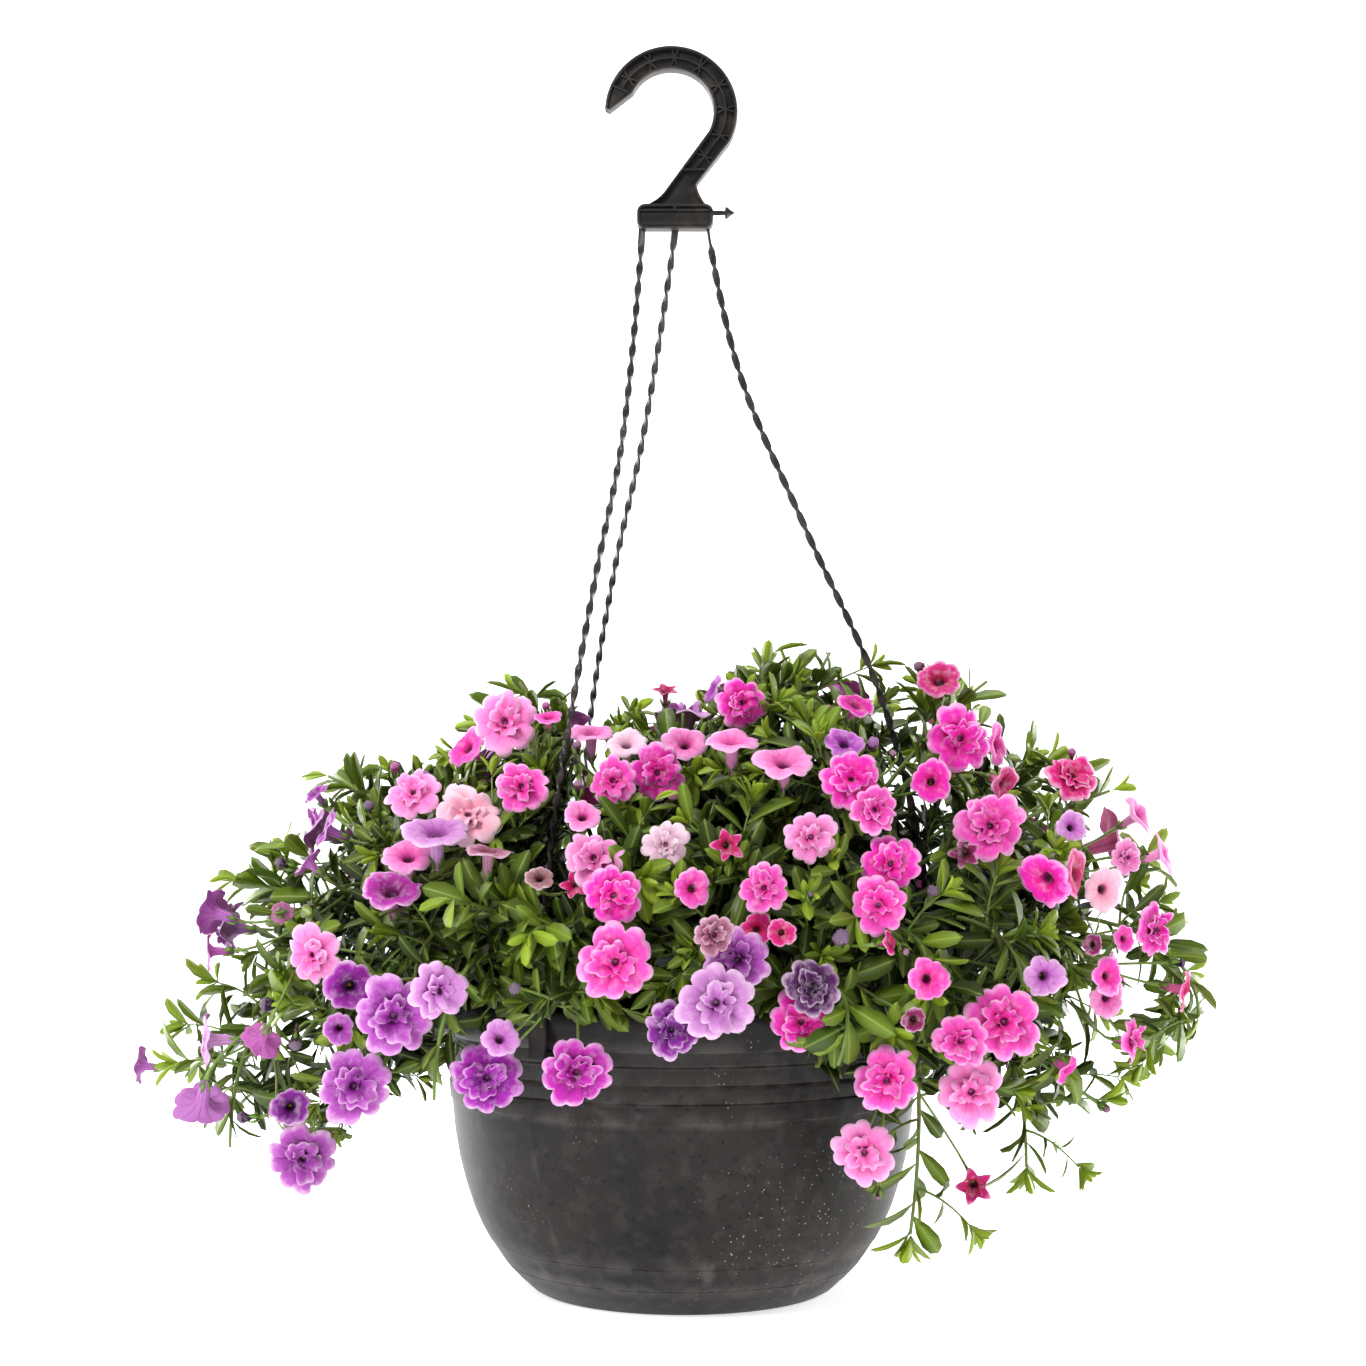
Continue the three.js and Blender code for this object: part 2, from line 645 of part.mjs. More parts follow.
function bloomBeads({ form, place, radius, face }) {
  const [u, w] = across(face);
  const depth = DEPTH[form] * radius;
  const beads = [{ at: place.clone().addScaledVector(face, -depth * 0.5), radius: radius * 0.42 }];
  beads.push({ at: place.clone().addScaledVector(face, -depth), radius: 1.5 });
  if (form === 'bud' || form === 'spent') {
    beads.push({ at: place.clone().addScaledVector(face, -depth * 0.25), radius: radius * 0.6 });
    return beads;
  }
  beads.push({ at: place.clone().addScaledVector(face, -radius * 0.1), radius: radius * 0.4 });
  for (let i = 0; i < 8; i += 1) {
    const angle = (i / 8) * 2 * Math.PI;
    beads.push({
      at: place.clone().addScaledVector(u, Math.cos(angle) * radius * 0.74)
        .addScaledVector(w, Math.sin(angle) * radius * 0.74).addScaledVector(face, -radius * 0.08),
      radius: radius * 0.27,
    });
  }
  return beads;
}

// A bloom keeps its line of sight and gives way along it, nearer or further, until it is clear.
function settle(owner, bloom, aim) {
  let best = null;
  let least = Infinity;
  for (const step of [0, 6, -6, 12, -12, 18, -18, 24, -24, 32, -32, 40]) {
    const trial = { ...bloom, place: bloom.place.clone().addScaledVector(aim, step) };
    const depth = clash([owner], bloomBeads(trial));
    if (depth < least - 0.3) {
      least = depth;
      best = trial;
    }
    if (depth <= 0) break;
  }
  return best;
}

function frontSpray({ name, hue, blooms }) {
  const open = blooms.filter(([form, , , wide]) => form !== 'bud' || wide > SMALL_BUD);
  const set = open.map(([form, x, z, wide, turn, tilt]) => {
    const place = onMound(x, z);
    const nearer = (EYE.away + place.y) / EYE.away;
    const aim = place.clone().sub(vec(0, -EYE.away, EYE.up)).normalize();
    return { form, place, radius: (wide / 2) * nearer, face: facing(turn, tilt), aim };
  });
  return { name, hue, blooms: set };
}

// a direction from the mound's heart, by its turn round the pot and its rise, met on the mound
function outThere(turn, rise) {
  const aim = vec(Math.cos(rad(turn)) * Math.cos(rad(rise)), Math.sin(rad(turn)) * Math.cos(rad(rise)), Math.sin(rad(rise)));
  const heart = vec(0, 0, MOUND.heart);
  let reach = 60;
  while (mound(heart.clone().addScaledVector(aim, reach)) < BACK.level) reach += 2;
  return { place: heart.addScaledVector(aim, reach), aim };
}

function backSpray(index) {
  const turn = BACK.from + (BACK.span * (index + 0.5)) / BACK.sprays;
  const rise = BACK.sprayRises[index];
  const forms = ['double', 'single', 'double', 'single'];
  const blooms = forms.map((form, k) => {
    const angle = k * GOLDEN + index;
    const spread = BACK.spread * (0.75 + 0.25 * draw(index * 5 + k));
    const { place, aim } = outThere(
      turn + (Math.cos(angle) * spread) / Math.max(0.4, Math.cos(rad(rise))), rise + Math.sin(angle) * spread,
    );
    const radius = 14 + 4 * draw(index * 7 + k);
    return { form, place, radius, face: aim.clone(), aim: aim.clone().negate() };
  });
  const hue = turn < 70 ? 'hot' : turn < 120 ? 'pale' : 'purple';
  return { name: `behind_${index + 1}`, hue, blooms };
}

// ---- shoots -----------------------------------------------------------------------------------
// The corner points of the way from the hole in the soil: straight up, over the rim where it must,
// then out to the end.
function shootPath(root, end, bow) {
  const low = THREE.MathUtils.smoothstep(215 - end.z, 0, 60);
  const peak = THREE.MathUtils.lerp(end.z - 0.12 * (end.z - SOIL.top) + bow.lift * 0.6, 212 + bow.lift, low);
  const first = root.clone().setZ(SOIL.top + (0.4 + 0.35 * low) * (peak - SOIL.top));
  const second = root.clone().lerp(end, THREE.MathUtils.lerp(0.72, 1.0, low));
  const side = vec(-end.y, end.x, 0).normalize();
  const out = vec(end.x, end.y, 0).normalize();
  second.addScaledVector(side, bow.side).addScaledVector(out, low * Math.max(0, 165 - Math.hypot(end.x, end.y)));
  second.setZ(peak);
  const curve = new THREE.CubicBezierCurve3(root, first, second, end);
  return [root.clone().setZ(SOIL.top - SOIL.holeDepth + 0.6), ...curve.getSpacedPoints(STEM.steps)];
}

const BOWS = [0, 12, -12, 24, -24, 36, -36, 50, -50].flatMap(
  (side) => [0, 22, -14, 40, -26].map((lift) => ({ side, lift })),
);

// The way to one of several ends that stays clearest of what is there, as the stem's corner points.
function route(own, root, ends) {
  let best = null;
  let least = Infinity;
  for (const end of ends) {
    for (const bow of BOWS) {
      const points = shootPath(root, end, bow);
      const depth = clash(own, beadsAlong(points, STEM.radius).slice(9));
      if (depth < least - 0.05) {
        least = depth;
        best = points;
      }
      if (least <= 0) return best;
    }
  }
  return best;
}

// a place on the stem's own centre line, by its share of the way
function onStem(points, share) {
  const steps = points.length - 1;
  const whole = Math.min(steps - 1, Math.floor(share * steps));
  return points[whole].clone().lerp(points[whole + 1], share * steps - whole);
}

function stemDirection(points, share) {
  const whole = Math.min(points.length - 2, Math.floor(share * (points.length - 1)));
  return points[whole + 1].clone().sub(points[whole]).normalize();
}

const roots = [];

// a place for the hole, nearer the rim for a shoot that reaches further out, and clear of the rest
function rootFor(end) {
  const reach = Math.hypot(end.x, end.y);
  const start = Math.min(SOIL.rootSpread * reach, SOIL.rootLimit);
  const angle = Math.atan2(end.y, end.x);
  for (let k = 0; k < 90; k += 1) {
    const out = Math.min(SOIL.rootLimit, start + 0.9 * Math.sqrt(k) * Math.cos(k * GOLDEN) * 2);
    const turn = angle + (1.6 * Math.sqrt(k) * Math.sin(k * GOLDEN)) / Math.max(out, 20);
    const spot = vec(Math.cos(turn) * out, Math.sin(turn) * out, SOIL.top + SOIL.crown + 1);
    if (roots.every((other) => other.distanceTo(spot) > 2 * SOIL.holeRadius + 1.5)) {
      roots.push(spot);
      return spot;
    }
  }
  return null;
}

// ---- bloom and leaf solids ----------------------------------------------------------------------
// stitches two rings of points, given by their first index and count, into a band
function band(firstA, countA, firstB, countB) {
  const triangles = [];
  let i = 0;
  let j = 0;
  while (i < countA || j < countB) {
    const a = firstA + (i % countA);
    const b = firstB + (j % countB);
    if (j >= countB || (i < countA && (i + 1) / countA <= (j + 1) / countB)) {
      i += 1;
      triangles.push([a, firstA + (i % countA), b]);
    } else {
      j += 1;
      triangles.push([a, firstB + (j % countB), b]);
    }
  }
  return triangles;
}

// A bloom with its stalk, in one skin: the stalk starts inside the stem and opens at its end into a
// trumpet of five petals. On a double a second whorl stands up round the throat. A bud stays shut.
function bloomSolid(bloom) {
  const { form, place, radius, face, from } = bloom;
  const foot = footOf(bloom);
  const [u, w] = across(face);
  const rise = foot.clone().sub(from).normalize();
  const points = [];
  const ring = (centre, axis, count, share, lift = () => 0) => {
    const turn = new THREE.Quaternion().setFromUnitVectors(face, axis);
    for (let i = 0; i < count; i += 1) {
      const angle = (i / count) * 2 * Math.PI;
      const arm = u.clone().multiplyScalar(Math.cos(angle) * share(i))
        .addScaledVector(w, Math.sin(angle) * share(i));
      points.push(centre.clone().add(arm.applyQuaternion(turn)).addScaledVector(axis, lift(i)));
    }
    return points.length - count;
  };
  const slim = () => STEM.stalk;
  ring(from, rise, 3, slim);
  ring(foot, rise.clone().add(face).normalize(), 3, () => STEM.stalk * 1.3);
  const triangles = [[0, 2, 1], ...band(0, 3, 3, 3)];
  if (form === 'bud' || form === 'spent') {
    const belly = ring(place.clone().lerp(foot, 0.4), face, 3, () => radius * 0.6);
    const tip = points.push(place.clone()) - 1;
    triangles.push(...band(3, 3, belly, 3));
    triangles.push([belly, belly + 1, tip], [belly + 1, belly + 2, tip], [belly + 2, belly, tip]);
    return facets(points, triangles);
  }
  const petals = radius < 13 ? 5 : 10;
  const notch = form === 'star' ? 0.5 : 0.84;
  const lobed = (i) => radius * (petals === 10 && i % 2 ? notch : 1);
  const rim = ring(place, face, petals, lobed, (i) => (i % 2 ? -0.12 * radius : 0));
  triangles.push(...band(3, 3, rim, petals));
  let lip = rim;
  let count = petals;
  if (form === 'double') {
    lip = ring(place, face, 5, () => radius * 0.5, () => radius * 0.18);
    count = 5;
    triangles.push(...band(rim, petals, lip, 5));
  }
  const throat = points.push(place.clone().addScaledVector(face, -0.4 * radius)) - 1;
  for (let i = 0; i < count; i += 1) triangles.push([lip + i, lip + ((i + 1) % count), throat]);
  return facets(points, triangles);
}

// A spoon-shaped blade with its rib standing out below.
function leafSolid({ base, along, lift, long, wide }) {
  const side = along.clone().cross(lift).normalize();
  const over = side.clone().cross(along).normalize();
  const at = (reach, out, rise) => base.clone()
    .addScaledVector(along, reach * long)
    .addScaledVector(side, out * wide)
    .addScaledVector(over, rise);
  const points = [at(0, 0, 0), at(0.6, 0.5, 1), at(0.6, -0.5, 1), at(1, 0, -1.5), at(0.5, 0, -LEAF.thick)];
  const triangles = [[0, 1, 2], [1, 3, 2], [0, 2, 4], [2, 3, 4], [3, 1, 4], [1, 0, 4]];
  return facets(points, triangles);
}

function leafBeads({ base, along, long, wide }) {
  return [0.15, 0.3, 0.45, 0.6, 0.8, 1].map((share, i) => ({
    at: base.clone().addScaledVector(along, share * long), radius: wide * [0.15, 0.3, 0.42, 0.5, 0.3, 0.1][i],
  }));
}

// leaves set spirally along the outer part of a path, with a rosette of young ones at its tip
function leavesOn(own, points, count, from) {
  const leaves = [];
  for (let k = 0; k < count * 3 && leaves.length < count; k += 1) {
    const share = Math.min(0.99, from + (1 - from) * Math.sqrt(((k % count) + 0.5) / count));
    const base = onStem(points, share);
    const tangent = stemDirection(points, share);
    const [u, w] = across(tangent);
    const angle = k * GOLDEN + base.x;
    const outward = u.multiplyScalar(Math.cos(angle)).addScaledVector(w, Math.sin(angle));
    const lean = THREE.MathUtils.lerp(0.45, 1.5, (share - from) / (1 - from));
    const along = outward.clone().addScaledVector(tangent, lean).normalize();
    const size = 0.75 + 0.4 * draw(base.x + k);
    const leaf = {
      base: base.clone().addScaledVector(along, -0.3), along, lift: tangent.clone().addScaledVector(up, 0.3),
      long: LEAF.long * size, wide: LEAF.wide * size,
    };
    const beads = leafBeads(leaf);
    if (clash(own, beads) > 0) continue;
    take(`${own[0]} leaf`, beads);
    leaves.push(leafSolid(leaf));
  }
  return leaves;
}

// finds the way of a spray's stem and the place on it where each bloom's stalk leaves
function growSpray(spray) {
  const middle = middleOf(spray);
  const heart = vec(0, 0, 190);
  const ends = [28, 40, 18, 55, 70].map((pull) => middle.clone().lerp(heart, pull / middle.distanceTo(heart)));
  spray.points = route([spray.name], spray.root, ends);
  take(spray.name, beadsAlong(spray.points, STEM.radius));
  for (const bloom of spray.blooms) {
    const foot = footOf(bloom);
    const own = [spray.name, bloom.name];
    let least = Infinity;
    for (let share = 0.99; share > 0.4; share -= 0.03) {
      const from = onStem(spray.points, share);
      const depth = clash(own, beadsAlong([from, foot], STEM.stalk).slice(0, -1));
      const cost = depth * 80 + from.distanceTo(foot);
      if (cost < least) {
        least = cost;
        bloom.from = from;
      }
    }
    take(`${bloom.name} stalk`, beadsAlong([bloom.from, foot], STEM.stalk));
  }
}

function growTip(tip) {
  const inward = tip.place.clone().setZ(0).normalize().negate();
  const ends = [0, 8, 16, 26].map((pull) => tip.place.clone().addScaledVector(inward, pull));
  tip.points = route([tip.name], tip.root, ends);
  take(tip.name, beadsAlong(tip.points, STEM.radius));
}

const floweringShoot = (spray) => joined([
  tube(spray.points, STEM.radius), ...spray.blooms.map(bloomSolid),
]);

const leafyShoot = (tip) => joined([
  tube(tip.points, STEM.radius), ...leavesOn([tip.name], tip.points, TIP_LEAVES, 0.4),
]);

// ---- the whole basket ---------------------------------------------------------------------------
const strapBeads = STRAPS.flatMap((plan) => beadsAlong(strapCurve(plan).getPoints(60), STRAP.wide / 2 + 0.3));
const clipBeads = STRAPS.flatMap(({ angle }) => beadsAlong(
  [rimPoint(angle, 126.6, CLIP.foot), rimPoint(angle, 126.6, CLIP.top)], CLIP.wide / 2 + 1,
));
take('hanger', [...strapBeads, ...clipBeads]);

const sprays = [
  ...FRONT_SPRAYS.map(frontSpray),
  ...Array.from({ length: BACK.sprays }, (_, i) => backSpray(i)),
];
sprays.forEach((spray) => {
  spray.blooms = spray.blooms.map((bloom, k) => {
    const name = `${spray.name} ${k}`;
    const settled = settle(name, { ...bloom, name }, bloom.aim);
    take(name, bloomBeads(settled));
    return settled;
  });
});

const tips = FRONT_TIPS.map(([name, x, z]) => ({ name, place: onMound(x, z) }));
for (let i = 0; i < BACK.tips; i += 1) {
  const turn = BACK.from + (BACK.span * i) / BACK.tips;
  const { place } = outThere(turn, BACK.tipRises[i]);
  tips.push({ name: `back_${i + 1}`, place });
}

sprays.forEach((spray) => {
  spray.root = rootFor(middleOf(spray));
});
tips.forEach((tip) => {
  tip.root = rootFor(tip.place);
});
sprays.forEach(growSpray);
tips.forEach(growTip);

// the soil, with a plain hole for each shoot
function soil() {
  const bottom = POT.floor + SOIL.gap;
  const wall = [40, 90, 126, SOIL.top].map((z) => [insideRadius(z) - 1.6, z]);
  const mass = turned([[66, bottom], ...wall, [90, SOIL.top + SOIL.crown - 1], [1, SOIL.top + SOIL.crown]], 24);
  const holes = roots.map(({ x, y }) => post(
    x, y, SOIL.top - SOIL.holeDepth, SOIL.top + SOIL.crown + 5, SOIL.holeRadius, 4,
  ));
  return mass.subtract(joined(holes));
}
const group = new THREE.Group();
group.add(toMesh('pot', pot(), 0x353334, 0.5));
group.add(toMesh('hanger', hanger(), 0x1d1d1f, 0.45));
group.add(toMesh('soil', soil(), 0x3a2a1e, 0.95));
sprays.forEach((spray) => {
  group.add(toMesh(`flowering_shoot_${spray.name}`, floweringShoot(spray), HUES[spray.hue], 0.6));
});
tips.forEach((tip) => {
  group.add(toMesh(`leafy_shoot_${tip.name}`, leafyShoot(tip), HUES.green, 0.6));
});

export default group;
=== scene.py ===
# %% [markdown]
# # Calibrachoa in a hanging pot
#
# A moulded plastic pot hangs from a black hook by three twisted straps. A mound of
# calibrachoa fills it: double and single blooms from violet on the left to hot pink on the
# right, spoon-shaped leaves, and strands that trail over the rim.
#
# All measures are in millimetres, with the origin in the middle of the pot's base, Z up and the
# front towards -Y. They turn into metres when a mesh is made. Surfaces are computed as grids of
# points with numpy, and every finish is made of shader nodes.

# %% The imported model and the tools
import math
import bpy
import numpy as np
from numpy.linalg import norm
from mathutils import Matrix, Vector
from mathutils.geometry import delaunay_2d_cdt


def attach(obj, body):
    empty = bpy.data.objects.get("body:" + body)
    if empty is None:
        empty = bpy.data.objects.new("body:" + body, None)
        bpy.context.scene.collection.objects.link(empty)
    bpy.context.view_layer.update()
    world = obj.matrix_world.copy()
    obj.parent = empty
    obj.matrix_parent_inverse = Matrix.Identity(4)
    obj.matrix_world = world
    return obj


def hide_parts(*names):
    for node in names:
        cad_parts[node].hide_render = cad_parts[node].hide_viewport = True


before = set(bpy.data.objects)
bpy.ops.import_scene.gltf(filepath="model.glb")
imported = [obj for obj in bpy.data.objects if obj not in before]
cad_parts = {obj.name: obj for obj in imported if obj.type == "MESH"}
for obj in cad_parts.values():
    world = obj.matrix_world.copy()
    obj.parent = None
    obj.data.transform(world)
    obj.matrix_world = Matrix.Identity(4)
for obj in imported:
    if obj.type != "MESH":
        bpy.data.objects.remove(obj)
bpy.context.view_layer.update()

# %% [markdown]
# ## The camera
#
# The basket is seen from straight in front, with its hook and its base both in view. A camera can
# be placed by eye or worked out. Here it is worked out: at the height of the foliage, some 1.2 m
# from the pot's axis, looking up by two degrees. EYE is kept, because leaves are later held clear
# of the lines of sight to the blooms.

# %% The camera
EYE = np.array([0.0, -1242.8, 255.4])
lens = bpy.data.cameras.new("lens")
lens.sensor_width = 36.0
lens.lens = 64.58
lens.clip_start = 0.05
lens.clip_end = 30.0
camera = bpy.data.objects.new("camera", lens)
camera.location = EYE / 1000
camera.rotation_euler = (math.radians(90 + 2.15), 0, 0)
bpy.context.collection.objects.link(camera)
bpy.context.scene.camera = camera
print(f"the lens sees {math.degrees(lens.angle):.1f} degrees")

# %% [markdown]
# ## Measures of the pot and the hanger
#
# The pot is a bowl with a rim band, and the hanger is a hook over a small block with three straps
# that clip to the rim. Their measures are named once here, so that every later step reads the same
# ones. POT_SIDE is the side's outline without its small grooves. Each strap has the place where it
# leaves the block, its turn round the pot, and the way it hangs as shares of the way down and out.

# %% Measures of the pot, block, straps and clips
RIM_RADIUS, RIM_HEIGHT, FLOOR = 125.0, 146.0, 3.0
SOIL_TOP, SOIL_CROWN, HOLE_DEPTH, HOLE_RADIUS = 136.0, 3.0, 14.0, 3.0
ROOT_SPREAD, ROOT_LIMIT = 0.34, 100.0
POT_SIDE = np.array([
    (72, 0), (83, 8), (92.5, 19.5), (97, 25.5), (105, 42), (112, 66), (116, 95), (117.4, 104),
    (116.7, 105), (118.2, 112), (117.5, 113), (118.8, 128.6), (121, 128.6), (125, 141), (125, 146),
])
DRAINS = [(48 * math.cos(a), 48 * math.sin(a)) for a in (np.arange(5) + 0.5) / 5 * 2 * np.pi]
BLOCK_LEFT, BLOCK_RIGHT, BLOCK_LOW, BLOCK_TOP, BLOCK_DEEP = -23.6, 15.5, 533.4, 546.6, 9.4
STRAP_WIDE, STRAP_THICK = 3.6, 1.6
CLIP_RADIUS, CLIP_WIDE, CLIP_TOP, CLIP_FOOT = 126.6, 9.0, 150.0, 124.8
STRAPS = [
    (-20.9, 238, [(0, 0), (0.28, 0.2), (0.475, 0.48), (0.73, 0.81), (0.85, 0.92), (1, 1)]),
    (12.9, 358, [(0, 0), (0.19, 0.14), (0.4, 0.44), (0.61, 0.76), (0.8, 0.93), (1, 1)]),
    (-4.1, 118, [(0, 0), (0.26, 0.3), (0.43, 0.58), (0.64, 0.84), (0.82, 0.95), (1, 1)]),
]
print(f"{len(STRAPS)} straps between the block at {BLOCK_LOW} mm and the rim at {RIM_HEIGHT} mm")

# %% [markdown]
# ## Measures of the plant
#
# The plant is a wide, uneven mound that is taller than the rim and hangs over it. It could be a
# sculpted shape, but an outline in a table is easier to read and to change: REACH gives how far
# the mound reaches from its heart, by the direction in the front view, 0 to the right and 90
# straight up. The other numbers are the radii of stems and stalks, how far beads keep apart, and
# how a low shoot is led over the rim.

# %% The mound's outline and the limits for stems
MOUND_DEEP, MOUND_HEART, MOUND_ROUND = 180.0, 155.0, 1.8
REACH = np.array([
    (-180, 250), (-172, 274), (-166, 275), (-159, 246), (-151, 222), (-140, 180), (-120, 110),
    (-90, 75), (-65, 110), (-49, 174), (-30, 195), (-18, 228), (-4, 266), (12, 258), (24, 236),
    (31, 229), (36, 205), (45, 218), (51, 209), (65, 179), (74, 171), (87, 140), (107, 139),
    (121, 173), (135, 166), (151, 205), (168, 230), (174, 252), (180, 250),
])
STEM, STALK, CLEAR, SMALL_BUD = 1.3, 1.0, 0.8, 11.0
LARGEST_BEAD, INSIDE_RIM, SHOULDER, LOWEST = 12, 116, 100, 14
LOW_END, LOW_SPAN, OVER_RIM, PAST_RIM = 215, 60, 212, 165
PULLS, TIP_PULLS, SPRAY_HEART = (28, 40, 18, 55, 70), (0, 8, 16, 26), 190
GOLDEN = math.radians(137.508)
DEPTH = {"double": 1.05, "single": 1.35, "star": 1.5, "bud": 2.4, "spent": 1.6}
print(f"the mound reaches {REACH[:, 1].max():.0f} mm from its heart")

# %% [markdown]
# ## The blooms in front
#
# Blooms could be scattered at random, but the front is what gives this plant its look, so each
# bloom there has a line of its own, a spray to each shoot. A line of two words starts a
# spray with its name and hue. Each other line is a bloom: its form, its place across and up where
# the line of sight meets the plane of the pot's axis, the width there, how far it turns to the
# right and up from facing the front in degrees, and its colour.

# %% Sprays seen from the front
FRONT_SPRAYS = """
far_left purple
single -275 109 19 -95 5 orchid
single -244 122 28 -75 0 mist
single -245 89 29 -160 -50 lilac
bud -228 83 11 -90 0 plum
single -216 122 21 -150 -40 fuchsia
bud -217 141 13 -90 5 plum
low_left lilac
double -194 62 36 0 -15 lilac
single -201 88 20 10 0 violet
double -169 99 38 0 5 lilac
spent -199 117 13 0 -60 shade
outer_left purple
single -240 187 26 -110 15 orchid
single -242 167 20 -80 0 fuchsia
bud -208 213 10 -80 20 plum
single -192 213 18 -100 40 lilac
single -205 187 12 170 0 wine
mid_left lilac
single -171 150 27 10 0 orchid
double -190 166 31 -20 -5 pale
double -149 135 41 10 -5 lilac
double -126 148 31 30 0 mist
single -177 128 17 0 -10 lilac
upper_left purple
single -183 230 21 -75 25 orchid
single -187 247 15 -60 50 orchid
bud -161 243 10 0 30 plum
single -150 200 31 0 55 fuchsia
shoulder_left pale
single -127 230 35 0 65 mist
single -141 217 28 0 50 pale
double -110 237 36 0 30 cream
single -100 220 25 30 80 dusk
double -138 248 28 -10 30 pale
bud -147 263 9 0 60 pink
bud -132 259 10 0 60 lilac
top_left pale
double -91 284 34 0 20 pale
single -111 271 22 -40 30 pink
single -69 287 14 0 60 pink
bud -70 294 8 0 75 pink
double -83 252 28 -10 20 pink
top_centre_left pink
single -47 279 25 0 70 pale
bud -54 275 8 0 60 dusk
bud -54 256 9 0 70 dusk
double -36 255 25 -10 10 pink
double -13 259 30 5 5 hot
single -29 274 22 0 50 white
centre_left pink
double -46 216 31 -10 25 pale
single -74 206 15 0 40 brown
star -56 202 16 -10 0 magenta
double -36 197 31 5 0 hot
double -9 223 25 0 10 white
single -52 238 20 0 40 pale
centre pink
star 23 223 19 10 0 magenta
single 5 201 20 10 10 pink
double 42 201 26 0 10 pink
double 66 227 27 0 0 pale
bud 66 199 6 0 60 plum
top_centre pale
star -9 299 14 0 60 magenta
double 30 294 27 20 10 hot
single 15 300 16 -70 20 lilac
single 25 276 30 0 70 pale
single 1 274 23 0 40 pale
single 52 266 30 0 55 pale
top_right_centre hot
double 87 256 33 0 25 hot
double 99 241 25 10 15 pink
single 89 294 20 30 50 hot
single 83 275 20 0 40 lilac
bud 98 277 12 0 40 lilac
bud 108 271 7 0 60 dusk
centre_right hot
double 107 213 31 0 5 hot
double 101 192 30 -5 0 pink
bud 82 177 17 0 20 plum
single 107 173 13 60 10 magenta
spent 129 199 12 0 0 shade
bud 116 167 7 30 -30 dusk
front_left purple
double -35 163 40 0 0 pink
spent -87 149 12 0 0 shade
single -94 124 21 20 30 mist
double -101 103 37 0 0 orchid
double -55 106 36 0 0 fuchsia
front_centre lilac
double -6 128 29 0 0 violet
double 17 142 40 0 0 mist
double 28 164 34 0 5 lilac
double 16 177 21 0 0 dusk
single 38 180 18 0 20 magenta
single 51 178 15 0 0 magenta
front_right purple
double 67 150 30 0 10 plum
double 61 132 34 0 -5 hot
single 119 133 13 0 0 wine
low_right pale
double 105 102 34 0 0 pink
double 93 65 33 0 0 pale
double 148 96 35 0 0 pale
star 148 48 21 0 -10 magenta
bud 100 41 6 0 -80 dusk
lower_right pink
double 165 132 39 0 5 pink
double 143 122 28 -10 -10 pink
single 127 154 23 20 0 pink
single 197 107 18 60 -30 hot
single 186 155 22 10 0 mist
bud 217 86 7 60 -30 dusk
outer_right hot
double 230 122 22 60 0 pink
single 256 147 21 70 -10 magenta
double 241 178 27 45 0 hot
single 218 155 20 30 0 pink
single 210 171 11 0 0 wine
single 217 143 20 10 -10 pale
bud 256 161 8 90 0 plum
single 226 174 14 30 0 pink
shoulder_right pink
single 232 236 22 60 30 pale
single 245 217 23 70 20 pale
double 227 215 18 20 0 pale
single 216 199 23 20 0 cream
single 202 208 25 60 0 magenta
single 186 204 29 -40 -20 hot
upper_right hot
double 199 256 28 20 30 magenta
bud 198 270 8 0 70 pink
double 158 232 36 0 10 pink
star 145 218 17 -10 -10 wine
single 199 231 17 10 20 mist
top_right hot
single 131 306 24 -10 40 magenta
bud 118 313 10 -60 20 wine
double 142 276 34 10 5 hot
single 161 272 22 60 0 pink
single 165 253 20 50 -20 magenta
single 128 255 22 0 10 hot
"""
print(sum(len(line.split()) > 2 for line in FRONT_SPRAYS.splitlines()), "blooms and buds in front")

# %% Leafy shoots, and how the far side is filled
FRONT_TIPS = {
    "trailing_low_right": (116, 24), "trailing_right": (174, 58), "side_right": (262, 134),
    "low_right_tip": (80, 110), "shoulder_right": (217, 248), "peak_right": (155, 304),
    "peak_centre": (46, 318), "peak_right_centre": (76, 320), "peak_left": (-84, 304),
    "shoulder_left": (-180, 255), "side_left": (-236, 205), "low_left_tip": (-230, 68),
    "hanging_left": (-128, 92), "heart_left": (-118, 195), "heart_centre": (-78, 178),
    "heart_right": (132, 165), "front_right": (190, 150),
}
BACK_COUNT, BACK_FROM, BACK_SPAN, BACK_SPREAD, BACK_LEVEL = 8, 2, 176, 13, 0.88
SPRAY_RISES = [8, 44, 12, 72, 40, 10, 46, 14]
TIP_RISES = [30, -6, 62, 30, 84, -4, 64, 26]
print(len(FRONT_TIPS) + BACK_COUNT, "leafy shoots")

# %% [markdown]
# ## Small helpers for vectors, draws and curves
#
# Stems, stalks and straps are all curves, and numpy works them out as whole arrays. Draws that look
# random come from a formula and not from a generator, so each depends only on its own seed and not
# on how many were drawn before it.

# %% Vectors and draws
def vec(x, y, z):
    """A point or direction as three numbers."""
    return np.array([x, y, z], float)


def unit(v):
    """Vectors scaled to length one, along the last axis."""
    return v / np.maximum(norm(v, axis=-1, keepdims=True), 1e-12)


def draw(seed):
    """An even draw in 0..1: the fraction left of a sine of the seed times a large number."""
    wave = np.sin(np.asarray(seed, float) * 12.9898 + 4.1414) * 43758.5453
    return wave - np.floor(wave)


def across(direction):
    """Two unit vectors square to a direction: up cross direction, and direction cross that."""
    side = vec(1, 0, 0) if abs(direction[2]) > 0.95 else vec(0, 0, 1)
    u = unit(np.cross(side, direction))
    return u, np.cross(direction, u)


def axes(directions):
    """The same two square vectors for many directions at once."""
    steep = np.abs(directions[:, 2:]) > 0.95
    side = np.where(steep, [1.0, 0, 0], [0, 0, 1.0])
    u = unit(np.cross(side, directions))
    return u, np.cross(directions, u)


